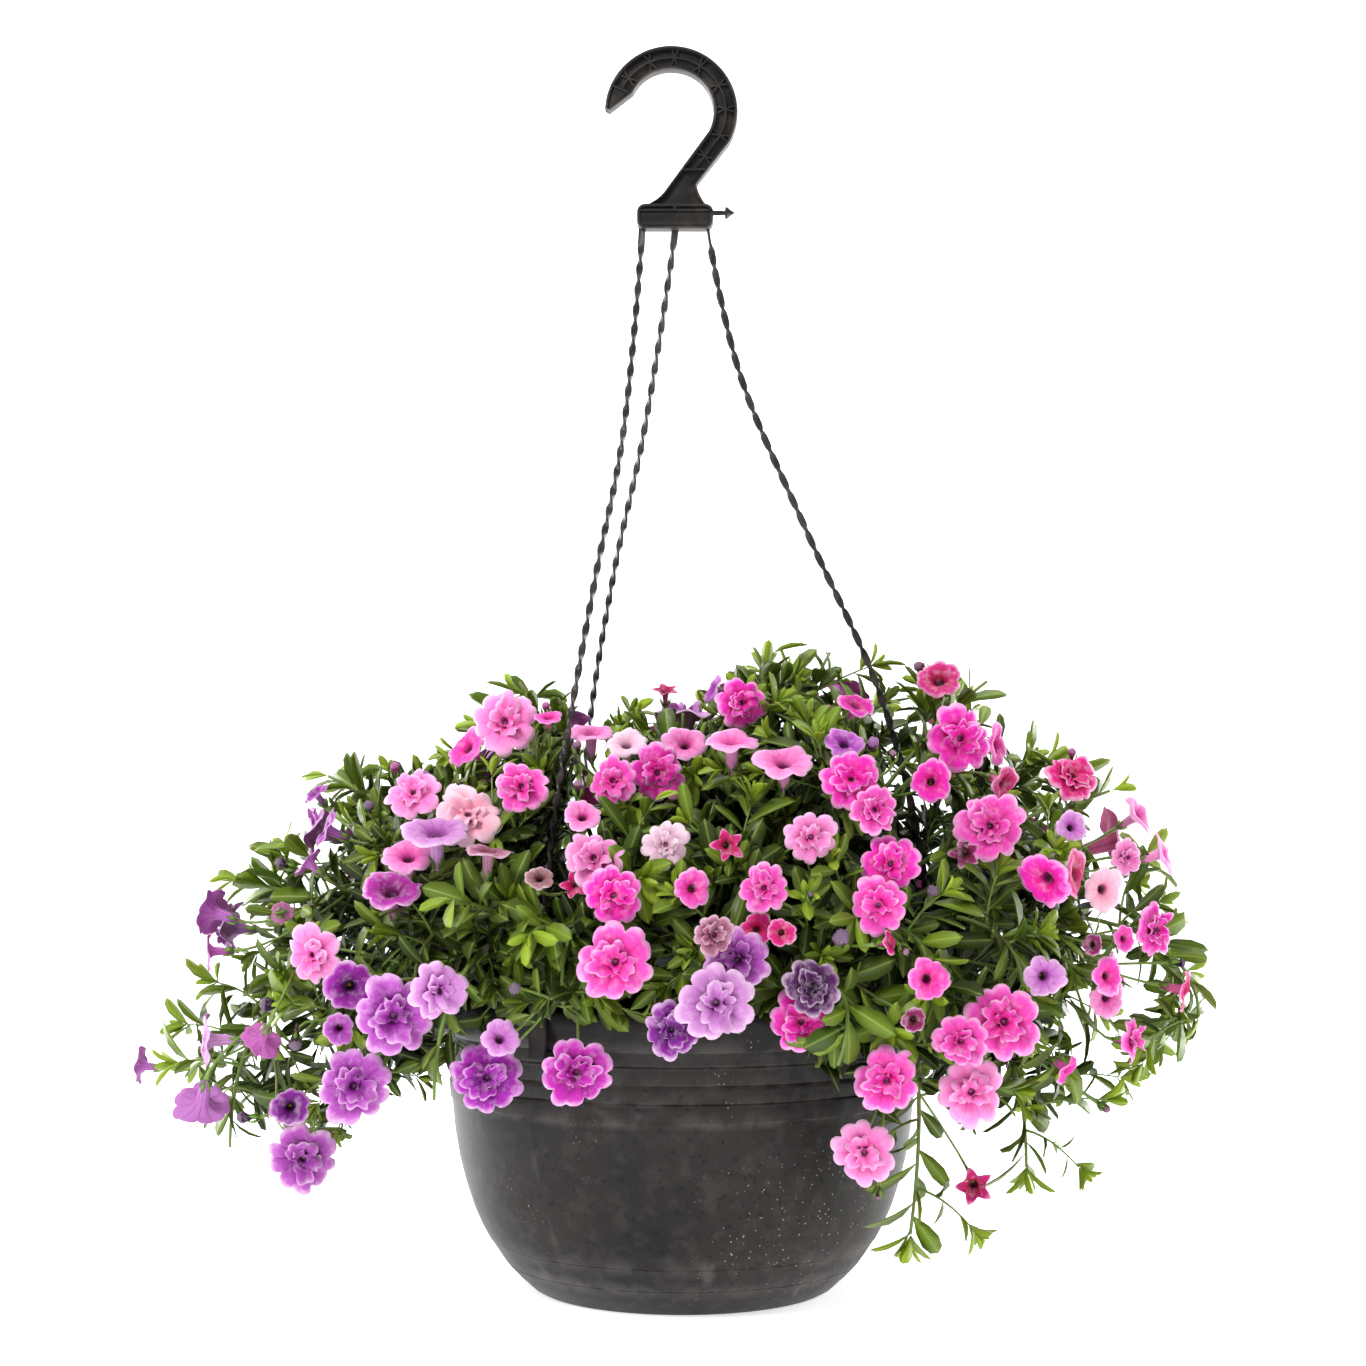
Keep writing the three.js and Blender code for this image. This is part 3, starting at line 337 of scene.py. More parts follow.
# %% Mixes and curves
def smooth(x, start, end):
    """Rises from 0 at start to 1 at end as 3t^2 - 2t^3."""
    t = np.clip((x - start) / (end - start), 0, 1)
    return t * t * (3 - 2 * t)


def lerp(a, b, t):
    """A straight mix of a and b: a(1 - t) + bt."""
    return a + (b - a) * t


def drawn(a, b, c, t):
    """A curve from a to c that is drawn towards b: (1-t)^2 a + 2t(1-t) b + t^2 c."""
    return (1 - t) ** 2 * a + 2 * t * (1 - t) * b + t ** 2 * c


def bezier(corners, t):
    """Cubic curve over four corners with weights (1-t)^3, 3t(1-t)^2, 3t^2(1-t) and t^3."""
    t = np.asarray(t, float)[:, None]
    a, b, c, d = corners
    return (1 - t) ** 3 * a + 3 * t * (1 - t) ** 2 * b + 3 * t * t * (1 - t) * c + t ** 3 * d


def steps(count):
    """Even shares from 0 to 1, in a column."""
    return np.linspace(0, 1, count)[:, None]


# %% Walking along curves
def walked(points):
    """How far each point of a broken line lies along it."""
    return np.concatenate([[0], np.cumsum(norm(np.diff(points, axis=0), axis=1))])


def evenly(curve, count):
    """Points of a curve at count even shares of its length, met by walking 200 short chords."""
    walk = np.linspace(0, 1, 201)
    length = walked(curve(walk))
    return curve(np.interp(np.linspace(0, length[-1], count), length, walk))


def rounded(points, t):
    """A curve through all points: between two of them a cubic whose slopes come from the
    neighbours, with each span timed by the square root of its length."""
    full = np.vstack([2 * points[0] - points[1], points, 2 * points[-1] - points[-2]])
    last = len(points) - 1
    whole = np.minimum((np.asarray(t) * last).astype(int), last - 1)
    w = (np.asarray(t) * last - whole)[:, None]
    x0, x1, x2, x3 = (full[whole + k] for k in range(4))
    d0, d1, d2 = (norm(b - a, axis=1, keepdims=True) ** 0.5
                  for a, b in ((x0, x1), (x1, x2), (x2, x3)))
    s1 = ((x1 - x0) / d0 - (x2 - x0) / (d0 + d1) + (x2 - x1) / d1) * d1
    s2 = ((x2 - x1) / d1 - (x3 - x1) / (d1 + d2) + (x3 - x2) / d2) * d1
    return (x1 + s1 * w + (-3 * x1 + 3 * x2 - 2 * s1 - s2) * w ** 2
            + (2 * x1 - 2 * x2 + s1 + s2) * w ** 3)


# %% The way of a strap
def rim_point(angle, radius, z):
    """A point at a radius and height, by its turn round the pot's axis in degrees."""
    return vec(math.cos(math.radians(angle)) * radius, math.sin(math.radians(angle)) * radius, z)


def strap_line(exit_x, angle, way):
    """The strap's middle line: down and out from the block by the shares of its way."""
    start = vec(exit_x, 0, BLOCK_LOW)
    end = rim_point(angle, CLIP_RADIUS, CLIP_TOP - 3)
    points = [vec(exit_x, 0, BLOCK_LOW + 4)]
    points += [start + (end - start) * vec(out, out, down) for down, out in way]
    return np.array(points)


for strap in STRAPS:
    print(f"a strap of {walked(rounded(strap_line(*strap), np.linspace(0, 1, 200)))[-1]:.0f} mm")


# %% [markdown]
# ## Keeping things apart
#
# Real stems and blooms grow past each other. Collisions of meshes are slow to find, so every stem,
# stalk, bloom and strap is followed by beads, for which a distance is enough. A new one takes the
# way on which its own beads sink least into those that are there.

# %% The crowd of beads
class Crowd:
    """All beads placed so far: centres, sizes and the number of the thing that each belongs to."""

    def __init__(self):
        self.at = np.zeros((20000, 3))
        self.size = np.zeros(20000)
        self.owner = np.zeros(20000, int)
        self.count = 0
        self.names = {}

    def number(self, name):
        """The number that stands for a thing's name."""
        return self.names.setdefault(name, len(self.names))

    def take(self, name, at, size):
        """Adds beads that belong to name."""
        span = slice(self.count, self.count + len(at))
        self.at[span], self.size[span], self.owner[span] = at, size, self.number(name)
        self.count += len(at)

    def clash(self, own, at, size):
        """The deepest that beads sink into others, the pot or the soil: sizes plus the clear gap
        less the distance between centres; 0 when all is clear."""
        size = np.broadcast_to(size, len(at))
        have = slice(0, self.count)
        reach = size.max() + LARGEST_BEAD + CLEAR
        near = ((self.at[have] > at.min(0) - reach) & (self.at[have] < at.max(0) + reach)).all(1)
        near &= ~np.isin(self.owner[have], [self.number(name) for name in own])
        worst = 0.0
        if near.any():
            gap = norm(at[:, None] - self.at[have][near][None], axis=2)
            worst = max(worst, (size[:, None] + self.size[have][near][None] + CLEAR - gap).max())
        out = np.hypot(at[:, 0], at[:, 1])
        lift = at[:, 2] - size - CLEAR
        crown = SOIL_TOP + SOIL_CROWN
        over = (out < RIM_RADIUS) & (lift < crown) & (at[:, 2] > SOIL_TOP - 20)
        if over.any():
            worst = max(worst, (np.where(out < INSIDE_RIM, crown, RIM_HEIGHT) - lift)[over].max())
        beside = (out > SHOULDER) & (lift < RIM_HEIGHT) & (at[:, 2] < RIM_HEIGHT + 30)
        if beside.any():
            wall = np.interp(np.minimum(lift, RIM_HEIGHT - 1), POT_SIDE[:, 1], POT_SIDE[:, 0])
            deep = np.minimum(wall + size + CLEAR - out, RIM_HEIGHT - lift)
            worst = max(worst, deep[beside].max())
        return max(worst, (LOWEST - at[:, 2]).max())


crowd = Crowd()


def beads_along(points, gap=2.5):
    """Points along a broken line, at most a gap apart."""
    rows = []
    for a, b in zip(points[:-1], points[1:]):
        count = max(1, math.ceil(norm(b - a) / gap))
        rows.append(lerp(a, b, (np.arange(count) / count)[:, None]))
    return np.vstack([*rows, points[-1:]])


# %% The mound
SIGHT = vec(0, -1090, 233)


def mound(p):
    """Below 1 inside the mound and 1 on its face: the reach in the front view and the depth, each
    as a share of the mound's own, raised to one power and added."""
    rise = p[..., 2] - MOUND_HEART
    angle = np.degrees(np.arctan2(rise, p[..., 0]))
    outward = np.hypot(p[..., 0], rise) / np.interp(angle, REACH[:, 0], REACH[:, 1])
    return outward ** MOUND_ROUND + np.abs(p[..., 1] / MOUND_DEEP) ** MOUND_ROUND


def on_mound(x, z):
    """Where the line of sight through a place in the axis plane first meets the mound."""
    aim = vec(x, 0, z) - SIGHT
    best, least = None, math.inf
    for share in 0.8 + 0.004 * np.arange(65):
        place = SIGHT + aim * share
        level = mound(place)
        if level < least:
            best, least = place, level
        if level < 1:
            break
    aim = unit(aim)
    while best[2] < RIM_HEIGHT + 6 and math.hypot(best[0], best[1]) < RIM_RADIUS + 26:
        best = best - 2 * aim
    return best


# %% A bloom and its beads
def facing(turn, tilt):
    """The direction a bloom looks in: turned to the right from the front, then up."""
    a, b = math.radians(turn), math.radians(tilt)
    return vec(math.sin(a) * math.cos(b), -math.cos(a) * math.cos(b), math.sin(b))


class Bloom:
    """A bloom: its form, the middle of its face, its radius, the way it looks and its colour."""

    def __init__(self, form, place, radius, face, colour):
        self.form, self.place, self.radius, self.face, self.colour = form, place, radius, face, colour
        self.start = None
        self.name = ""

    def foot(self):
        """The end of its stalk, behind its face by the depth of its form."""
        return self.place - self.face * DEPTH[self.form] * self.radius

    def beads(self, place):
        """Beads for the trumpet, and a ring of eight for the petals of an open one."""
        u, w = across(self.face)
        r, depth = self.radius, DEPTH[self.form] * self.radius
        at = [place - self.face * depth * 0.5, place - self.face * depth]
        size = [r * 0.42, 1.5]
        if self.form in ("bud", "spent"):
            return np.array([*at, place - self.face * depth * 0.25]), np.array([*size, r * 0.6])
        angles = np.arange(8)[:, None] / 8 * 2 * np.pi
        ring = place + u * np.cos(angles) * r * 0.74 + w * np.sin(angles) * r * 0.74
        at = np.vstack([*at, place - self.face * r * 0.1, ring - self.face * r * 0.08])
        return at, np.array([*size, r * 0.4, *[r * 0.27] * 8])

    def settle(self, aim):
        """Keeps the line of sight and gives way along it, nearer or further, until clear."""
        best, least = None, math.inf
        for step in (0, 6, -6, 12, -12, 18, -18, 24, -24, 32, -32, 40):
            place = self.place + aim * step
            depth = crowd.clash([self.name], *self.beads(place))
            if depth < least - 0.3:
                best, least = place, depth
            if depth <= 0:
                break
        self.place = best
        crowd.take(self.name, *self.beads(best))


# %% [markdown]
# ## Shoots and their ways
#
# A stem stands in its hole in the soil, goes up, over the rim where it must, and out to its end. A
# cubic curve with four corners gives that way above the soil. Where it meets something, it bows to
# a side, higher or lower, and the clearest of these ways is kept. The blooms are placed first,
# since they are what is seen, and the stems and stalks then find their way to them.

# %% The way of a stem
def shoot_way(root, end, side_bow, lift_bow):
    """The stem's corners: a cubic curve cut at even lengths, over a straight foot in the soil."""
    low = float(smooth(LOW_END - end[2], 0, LOW_SPAN))
    peak = lerp(end[2] - 0.12 * (end[2] - SOIL_TOP) + lift_bow * 0.6, OVER_RIM + lift_bow, low)
    first = vec(root[0], root[1], SOIL_TOP + (0.4 + 0.35 * low) * (peak - SOIL_TOP))
    second = lerp(root, end, lerp(0.72, 1.0, low))
    flat = unit(vec(end[0], end[1], 0))
    second = second + vec(-flat[1], flat[0], 0) * side_bow
    second = second + flat * low * max(0, PAST_RIM - math.hypot(end[0], end[1]))
    second[2] = peak
    way = evenly(lambda t: bezier((root, first, second, end), t), 5)
    foot = vec(root[0], root[1], SOIL_TOP - HOLE_DEPTH + 0.6)
    return np.vstack([foot, way]), (root, first, second, end)


BOWS = [(side, lift) for side in (0, 12, -12, 24, -24, 36, -36, 50, -50)
        for lift in (0, 22, -14, 40, -26)]


def route(own, root, ends):
    """The clearest way from the root to one of several ends, and its four curve corners."""
    best, least = None, math.inf
    for end in ends:
        for bow in BOWS:
            way = shoot_way(root, end, *bow)
            depth = crowd.clash([own], beads_along(way[0])[9:], STEM)
            if depth < least - 0.05:
                best, least = way, depth
            if least <= 0:
                return best
    return best


def on_stem(points, share):
    """The place at a share of a broken line's corners."""
    at = share * (len(points) - 1)
    whole = min(len(points) - 2, int(at))
    return lerp(points[whole], points[whole + 1], at - whole)


# %% Holes for the stems
ROOTS = []


def root_for(end):
    """A free place for the hole: nearer the rim for a shoot that reaches further out."""
    start = min(ROOT_SPREAD * math.hypot(end[0], end[1]), ROOT_LIMIT)
    angle = math.atan2(end[1], end[0])
    for k in range(90):
        out = min(ROOT_LIMIT, start + 1.8 * math.sqrt(k) * math.cos(k * GOLDEN))
        turn = angle + 1.6 * math.sqrt(k) * math.sin(k * GOLDEN) / max(out, 20)
        spot = vec(math.cos(turn) * out, math.sin(turn) * out, SOIL_TOP + SOIL_CROWN + 1)
        if all(norm(other - spot) > 2 * HOLE_RADIUS + 1.5 for other in ROOTS):
            ROOTS.append(spot)
            return spot
    return None


# %% A shoot
class Shoot:
    """A shoot of the plant with its blooms, if it has any."""

    def __init__(self, node, slot, aim, blooms=()):
        self.node, self.slot, self.aim, self.blooms = node, slot, aim, list(blooms)
        self.points = self.corners = None

    def grow_stem(self, root, pulls, heart):
        """Finds the stem's way to the aim, drawn back towards the heart by one of the pulls."""
        gap = norm(heart - self.aim)
        ends = [lerp(self.aim, heart, pull / gap) for pull in pulls]
        self.points, self.corners = route(self.node, root, ends)
        crowd.take(self.node, beads_along(self.points), STEM)

    def grow_stalks(self):
        """Gives each bloom's stalk the place on the stem with the shortest clear way."""
        for bloom in self.blooms:
            least, share = math.inf, 0.99
            while share > 0.4:
                start = on_stem(self.points, share)
                way = beads_along(np.array([start, bloom.foot()]))
                depth = crowd.clash([self.node, bloom.name], way[:-1], STALK)
                cost = depth * 80 + norm(start - bloom.foot())
                if cost < least:
                    least, bloom.start = cost, start
                share -= 0.03
            way = beads_along(np.array([bloom.start, bloom.foot()]))
            crowd.take(bloom.name + " stalk", way, STALK)


# %% Straps and front sprays take their places
for strap in STRAPS:
    middle = rounded(strap_line(*strap), np.linspace(0, 1, 61))
    crowd.take("hanger", beads_along(middle), STRAP_WIDE / 2 + 0.3)
    clip = np.array([rim_point(strap[1], CLIP_RADIUS, z) for z in (CLIP_FOOT, CLIP_TOP)])
    crowd.take("hanger", beads_along(clip), CLIP_WIDE / 2 + 1)
print(crowd.count, "beads on the straps and clips")

SLOTS = {"purple": "petal_purple", "lilac": "petal_lilac", "pale": "petal_pale_pink",
         "pink": "petal_pink", "hot": "petal_hot_pink"}
shoots, small_buds = [], {}
for words in map(str.split, FRONT_SPRAYS.strip().split("\n")):
    if len(words) == 2:
        shoots.append(Shoot("flowering_shoot_" + words[0], SLOTS[words[1]], None))
        small_buds[shoots[-1].node] = []
        continue
    x, z, wide, turn, tilt = map(int, words[1:6])
    place = on_mound(x, z)
    near = (place[1] - SIGHT[1]) / -SIGHT[1]
    bloom = Bloom(words[0], place, wide / 2 * near, facing(turn, tilt), words[6])
    bloom.aim = unit(place - SIGHT)
    big = words[0] != "bud" or wide > SMALL_BUD
    (shoots[-1].blooms if big else small_buds[shoots[-1].node]).append(bloom)
print(len(shoots), "sprays in front")


# %% Sprays on the far side
def out_there(turn, rise):
    """Where a direction from the mound's heart, by its turn and rise, comes near its face."""
    a, b = math.radians(turn), math.radians(rise)
    aim = vec(math.cos(a) * math.cos(b), math.sin(a) * math.cos(b), math.sin(b))
    reach = 60
    while mound(vec(0, 0, MOUND_HEART) + aim * reach) < BACK_LEVEL:
        reach += 2
    return vec(0, 0, MOUND_HEART) + aim * reach, aim


BACK_COLOURS = {"hot": ["hot", "magenta", "pink", "fuchsia"],
                "pale": ["pale", "pink", "mist", "pale"],
                "purple": ["lilac", "orchid", "violet", "mist"]}
for index in range(BACK_COUNT):
    turn = BACK_FROM + BACK_SPAN * (index + 0.5) / BACK_COUNT
    rise = SPRAY_RISES[index]
    hue = "hot" if turn < 70 else "pale" if turn < 120 else "purple"
    made = []
    for k, form in enumerate(("double", "single", "double", "single")):
        angle = k * GOLDEN + index
        spread = BACK_SPREAD * (0.75 + 0.25 * float(draw(index * 5 + k)))
        flatter = max(0.4, math.cos(math.radians(rise)))
        place, aim = out_there(turn + math.cos(angle) * spread / flatter,
                               rise + math.sin(angle) * spread)
        bloom = Bloom(form, place, 14 + 4 * float(draw(index * 7 + k)), aim, BACK_COLOURS[hue][k])
        bloom.aim = -aim
        made.append(bloom)
    shoots.append(Shoot(f"flowering_shoot_behind_{index + 1}", SLOTS[hue], None, made))
print(len(shoots), "sprays with those on the far side")


# %% Every shoot finds its way
sprays = list(shoots)
for shoot in sprays:
    for k, bloom in enumerate(shoot.blooms):
        bloom.name = f"{shoot.node} {k}"
        bloom.settle(bloom.aim)
tips = [Shoot("leafy_shoot_" + name, "foliage", on_mound(*place))
        for name, place in FRONT_TIPS.items()]
for index in range(BACK_COUNT):
    place, aim = out_there(BACK_FROM + BACK_SPAN * index / BACK_COUNT, TIP_RISES[index])
    tips.append(Shoot(f"leafy_shoot_back_{index + 1}", "foliage", place))
for shoot in sprays:
    shoot.aim = np.mean([bloom.place for bloom in shoot.blooms], axis=0)
spots = [root_for(shoot.aim) for shoot in sprays + tips]
for shoot, spot in zip(sprays, spots):
    shoot.grow_stem(spot, PULLS, vec(0, 0, SPRAY_HEART))
    shoot.grow_stalks()
for shoot, spot in zip(tips, spots[len(sprays):]):
    inward = shoot.aim - 1000 * unit(vec(shoot.aim[0], shoot.aim[1], 0))
    shoot.grow_stem(spot, TIP_PULLS, inward)
shoots = sprays + tips
print(f"{len(shoots)} shoots have their way, among {crowd.count} beads")

# %% [markdown]
# ## Meshes from grids of points
#
# A shoot has thousands of petals, leaves and stalks, and an object for each would be slow. So a
# `Skin` gathers closed surfaces for one piece, and foreach_set writes them into one mesh at once.
# Every point carries its spot on the surface and a colour, which the materials read, and every face
# carries the number of its material. An attribute is written as soon as it is made, because making
# the next one can move the first in memory.

# %% A skin of closed surfaces
PETAL, LEAF, TWIG = 0, 1, 2


class Skin:
    """Closed surfaces of one piece, in millimetres."""

    def __init__(self):
        self.points, self.spots, self.tints, self.faces, self.kinds = [], [], [], [], []
        self.count = 0

    def add(self, points, faces, spots=None, tints=(0.5, 0.5, 0.5), kind=0):
        """Adds points (n, 3) and a list of face arrays that count from this call's first point."""
        points = np.asarray(points, float).reshape(-1, 3)
        spots = np.zeros(3) if spots is None else np.asarray(spots, float)
        tints = np.asarray(tints, float)
        self.points.append(points)
        self.spots.append(np.broadcast_to(spots.reshape(-1, 3), points.shape))
        self.tints.append(np.broadcast_to(tints.reshape(-1, 3), points.shape))
        for part in faces:
            self.faces.append(part + self.count)
            self.kinds.append(np.full(len(part), kind))
        self.count += len(points)

    def mesh(self, name, materials, sharp=None):
        """The object for all surfaces gathered, in metres, smooth unless an angle is given."""
        mesh = bpy.data.meshes.new(name)
        points = np.vstack(self.points) / 1000
        sizes = np.concatenate([np.full(len(part), part.shape[1]) for part in self.faces])
        corners = np.concatenate([part.ravel() for part in self.faces])
        mesh.vertices.add(len(points))
        mesh.loops.add(len(corners))
        mesh.polygons.add(len(sizes))
        for rows, key, values, kind in (
                (mesh.vertices, "co", points, np.float32),
                (mesh.loops, "vertex_index", corners, np.int32),
                (mesh.polygons, "loop_start", np.cumsum(sizes) - sizes, np.int32),
                (mesh.polygons, "material_index", np.concatenate(self.kinds), np.int32),
                (mesh.polygons, "use_smooth", np.ones(len(sizes)), bool)):
            rows.foreach_set(key, values.astype(kind).ravel())
        rgba = np.hstack([np.vstack(self.tints), np.ones((len(points), 1))])
        for name_of, kind, key, values in (("spot", "FLOAT_VECTOR", "vector", np.vstack(self.spots)),
                                           ("tint", "FLOAT_COLOR", "color", rgba)):
            layer = mesh.attributes.new(name_of, kind, "POINT")
            layer.data.foreach_set(key, values.astype(np.float32).ravel())
        mesh.update(calc_edges=True)
        mesh.validate(verbose=False)
        if sharp:
            mesh.set_sharp_from_angle(angle=math.radians(sharp))
        for material in materials:
            mesh.materials.append(material)
        thing = bpy.data.objects.new(name, mesh)
        bpy.context.collection.objects.link(thing)
        print(name, "has", len(points), "points and", len(sizes), "faces")
        return thing


# %% Rings and tubes
def spread(shape, *values):
    """Several numbers for every point, side by side: each is laid out over the shape."""
    return np.stack([np.broadcast_to(value, shape) for value in values], -1)


def gather(blooms, *keys):
    """For each key, that property of all blooms as one array."""
    return [np.array([getattr(bloom, key) for bloom in blooms]) for key in keys]


def ring_faces(rings, sides, copies=1, poles=True):
    """Quads between neighbouring closed rings, and fans to a pole before the first ring and one
    after the last, for each of a number of copies laid out one after the other."""
    size = rings * sides + 2 * poles
    j, i = np.meshgrid(np.arange(rings - 1), np.arange(sides), indexing="ij")
    a = (j * sides + i).ravel()
    b = (j * sides + (i + 1) % sides).ravel()
    quads = np.stack([a, b, b + sides, a + sides], 1)
    base = np.arange(copies)[:, None, None] * size
    out = [(quads[None] + base).reshape(-1, 4)]
    if poles:
        i = np.arange(sides)
        first, last = rings * sides, rings * sides + 1
        head = np.stack([np.full(sides, first), (i + 1) % sides, i], 1)
        edge = (rings - 1) * sides
        tail = np.stack([np.full(sides, last), edge + i, edge + (i + 1) % sides], 1)
        out.append((np.vstack([head, tail])[None] + base).reshape(-1, 3))
    return out


def tubes(paths, radii, sides):
    """Round tubes along paths (t, k, 3): at each point a ring of the given radius, square to the
    path, with a pole at either end. Returns the points and the faces."""
    paths = np.asarray(paths, float)
    radii = np.broadcast_to(np.asarray(radii, float), paths.shape[:2])
    count, rings = paths.shape[:2]
    way = unit(np.gradient(paths, axis=1))
    side = np.eye(3)[np.argmin(np.abs(way).max(axis=1), axis=1)][:, None, :]
    u = unit(np.cross(np.broadcast_to(side, way.shape), way))
    w = np.cross(way, u)
    turn = np.arange(sides) / sides * 2 * np.pi
    ring = (u[:, :, None] * np.cos(turn)[:, None] + w[:, :, None] * np.sin(turn)[:, None])
    body = paths[:, :, None] + ring * radii[:, :, None, None]
    ends = np.stack([paths[:, 0] - way[:, 0] * radii[:, :1] * 0.4,
                     paths[:, -1] + way[:, -1] * radii[:, -1:] * 0.4], 1)
    points = np.concatenate([body.reshape(count, -1, 3), ends], 1)
    return points, ring_faces(rings, sides, count)


# %% [markdown]
# ## Leaves
#
# The leaves are small and spoon-shaped, bent along their length and a little folded along the rib.
# A flat card would be lighter, but it has no back and no thickness. A leaf here is a thin lens:
# four points at each of its stations, the two edges, the middle of the upper face and the middle
# of the lower. It has about twenty faces, so there can be thousands.

# %% The form of one leaf
STATIONS = np.array([(0.10, 0.24), (0.34, 0.76), (0.64, 1.00), (0.89, 0.70)])
SLIM_STATIONS = np.array([(0.50, 1.0)])


def leaf_form(stations):
    """Points of a leaf of length 1 and half-width 1 as (across, along, above), with its faces."""
    rows = [(0, 0, 0)]
    for along, wide in stations:
        rows += [(-wide, along, 0), (0, along, 0.5), (wide, along, 0), (0, along, -0.5)]
    rows.append((0, 1, 0))
    last = len(rows) - 1
    count = len(stations)
    k = np.arange(4)
    nxt = (k + 1) % 4
    quads = [np.stack([1 + 4 * s + k, 5 + 4 * s + k, 5 + 4 * s + nxt, 1 + 4 * s + nxt], 1)
             for s in range(count - 1)]
    root = np.stack([np.zeros(4, int), 1 + k, 1 + nxt], 1)
    edge = 1 + 4 * (count - 1)
    tip = np.stack([np.full(4, last), edge + nxt, edge + k], 1)
    return np.array(rows, float), quads, np.vstack([root, tip])


print("a leaf has", len(leaf_form(STATIONS)[0]), "points, a slim one", len(leaf_form(SLIM_STATIONS)[0]))


# %% Many leaves at once
def add_leaves(skin, base, along, over, length, width, arch, fold, tint, young, slim=False):
    """Leaves from arrays with one row each: across = along x over; each point lies at base plus
    its share along, less the arch times the share squared, plus the fold times its way across."""
    form, quads, fans = leaf_form(SLIM_STATIONS if slim else STATIONS)
    count, size = len(base), len(form)
    along = unit(along)
    side = unit(np.cross(along, over))
    over = np.cross(side, along)
    x, y, z = form[None, :, 0], form[None, :, 1], form[None, :, 2]
    length, width, arch, fold, young = (np.asarray(v, float).reshape(-1, 1)
                                        for v in (length, width, arch, fold, young))
    rise = -arch * y ** 2 * length + fold * np.abs(x) * width / 2 + z * 0.5
    reach = y * length * (1 - 0.3 * arch ** 2 * y ** 2)
    points = (base[:, None] + along[:, None] * reach[..., None]
              + side[:, None] * (x * width / 2)[..., None] + over[:, None] * rise[..., None])
    spots = spread((count, size), x, y, young + np.where(z < 0, 2.0, 0.0))
    start = np.arange(count)[:, None, None] * size
    faces = [(part[None] + start).reshape(-1, part.shape[1]) for part in (*quads, fans)]
    skin.add(points, faces, spots, np.repeat(tint, size, axis=0), LEAF)


# %% [markdown]
# ## Blooms
#
# A calibrachoa's bloom is a short trumpet that opens into five joined lobes, and a double one has
# ruffled whorls inside. Separate petals would show gaps that the real bloom doesn't have, so it is
# turned round its own axis: rings run from the throat over the face to the petals' edge and back
# down the trumpet. The outline and the waves of the petals change with the angle. Doubles carry
# two more whorls that stand up round the throat.

# %% Outlines and profiles of petals
PETALS = 5
OUTLINES = {
    "double": (0.78, 0.93, 0.99, 1.02, 1.02, 1.00, 0.93),
    "single": (0.86, 0.95, 0.99, 1.01, 1.01, 1.00, 0.96),
    "star": (0.42, 0.52, 0.62, 0.72, 0.82, 0.92, 1.00),
    "shut": (0.86, 0.92, 0.97, 1.0, 1.0, 0.99, 0.97),
}
FRILL = (0.70, 0.90, 1.00, 1.04, 1.03, 0.98, 0.88)
FACES = {
    "double": [(0.07, -0.50), (0.16, -0.26), (0.36, -0.05), (0.64, 0.04), (0.86, 0.02), (1.0, -0.06),
               (0.995, -0.08), (0.84, -0.01), (0.60, 0.0), (0.30, -0.16), (0.15, -0.60), (0.08, -1.0)],
    "single": [(0.09, -0.75), (0.16, -0.45), (0.27, -0.18), (0.46, -0.03), (0.76, 0.03), (1.0, -0.03),
               (0.99, -0.055), (0.75, 0.0), (0.43, -0.07), (0.24, -0.30), (0.19, -0.85), (0.10, -1.3)],
    "star": [(0.08, -0.7), (0.16, -0.42), (0.28, -0.2), (0.45, -0.06), (0.72, 0.0), (1.0, 0.04),
             (0.985, 0.01), (0.71, -0.03), (0.43, -0.11), (0.25, -0.35), (0.18, -0.9), (0.10, -1.45)],
}
WHORL = [(0.07, -0.40), (0.14, -0.14), (0.28, 0.08), (0.44, 0.19), (0.58, 0.20),
         (0.575, 0.175), (0.42, 0.155), (0.25, 0.03), (0.09, -0.36)]
SPINDLE = [(0.10, -2.36), (0.14, -2.1), (0.17, -1.6), (0.34, -1.15), (0.55, -0.75), (0.52, -0.4),
           (0.26, -0.12)]

WHORLS = [
    *(((form,), FACES[form], OUTLINES[form], 0, 1, 0, waves)
      for form, waves in (("double", 0.13), ("single", 0.07), ("star", 0.03))),
    (("double",), WHORL, FRILL, math.radians(30), 0.96, 0.02, 0.17, 48, 2.0, 2.6, 0.18),
    (("double",), WHORL, FRILL, math.radians(64), 0.58, 0.16, 0.26, 36, 1.8, 3.8, 0.42),
    (("bud", "spent"), SPINDLE, OUTLINES["shut"], 0, 1, 0, 0.0, 15, 0.5, 1.0, 0.0, 0.5),
]


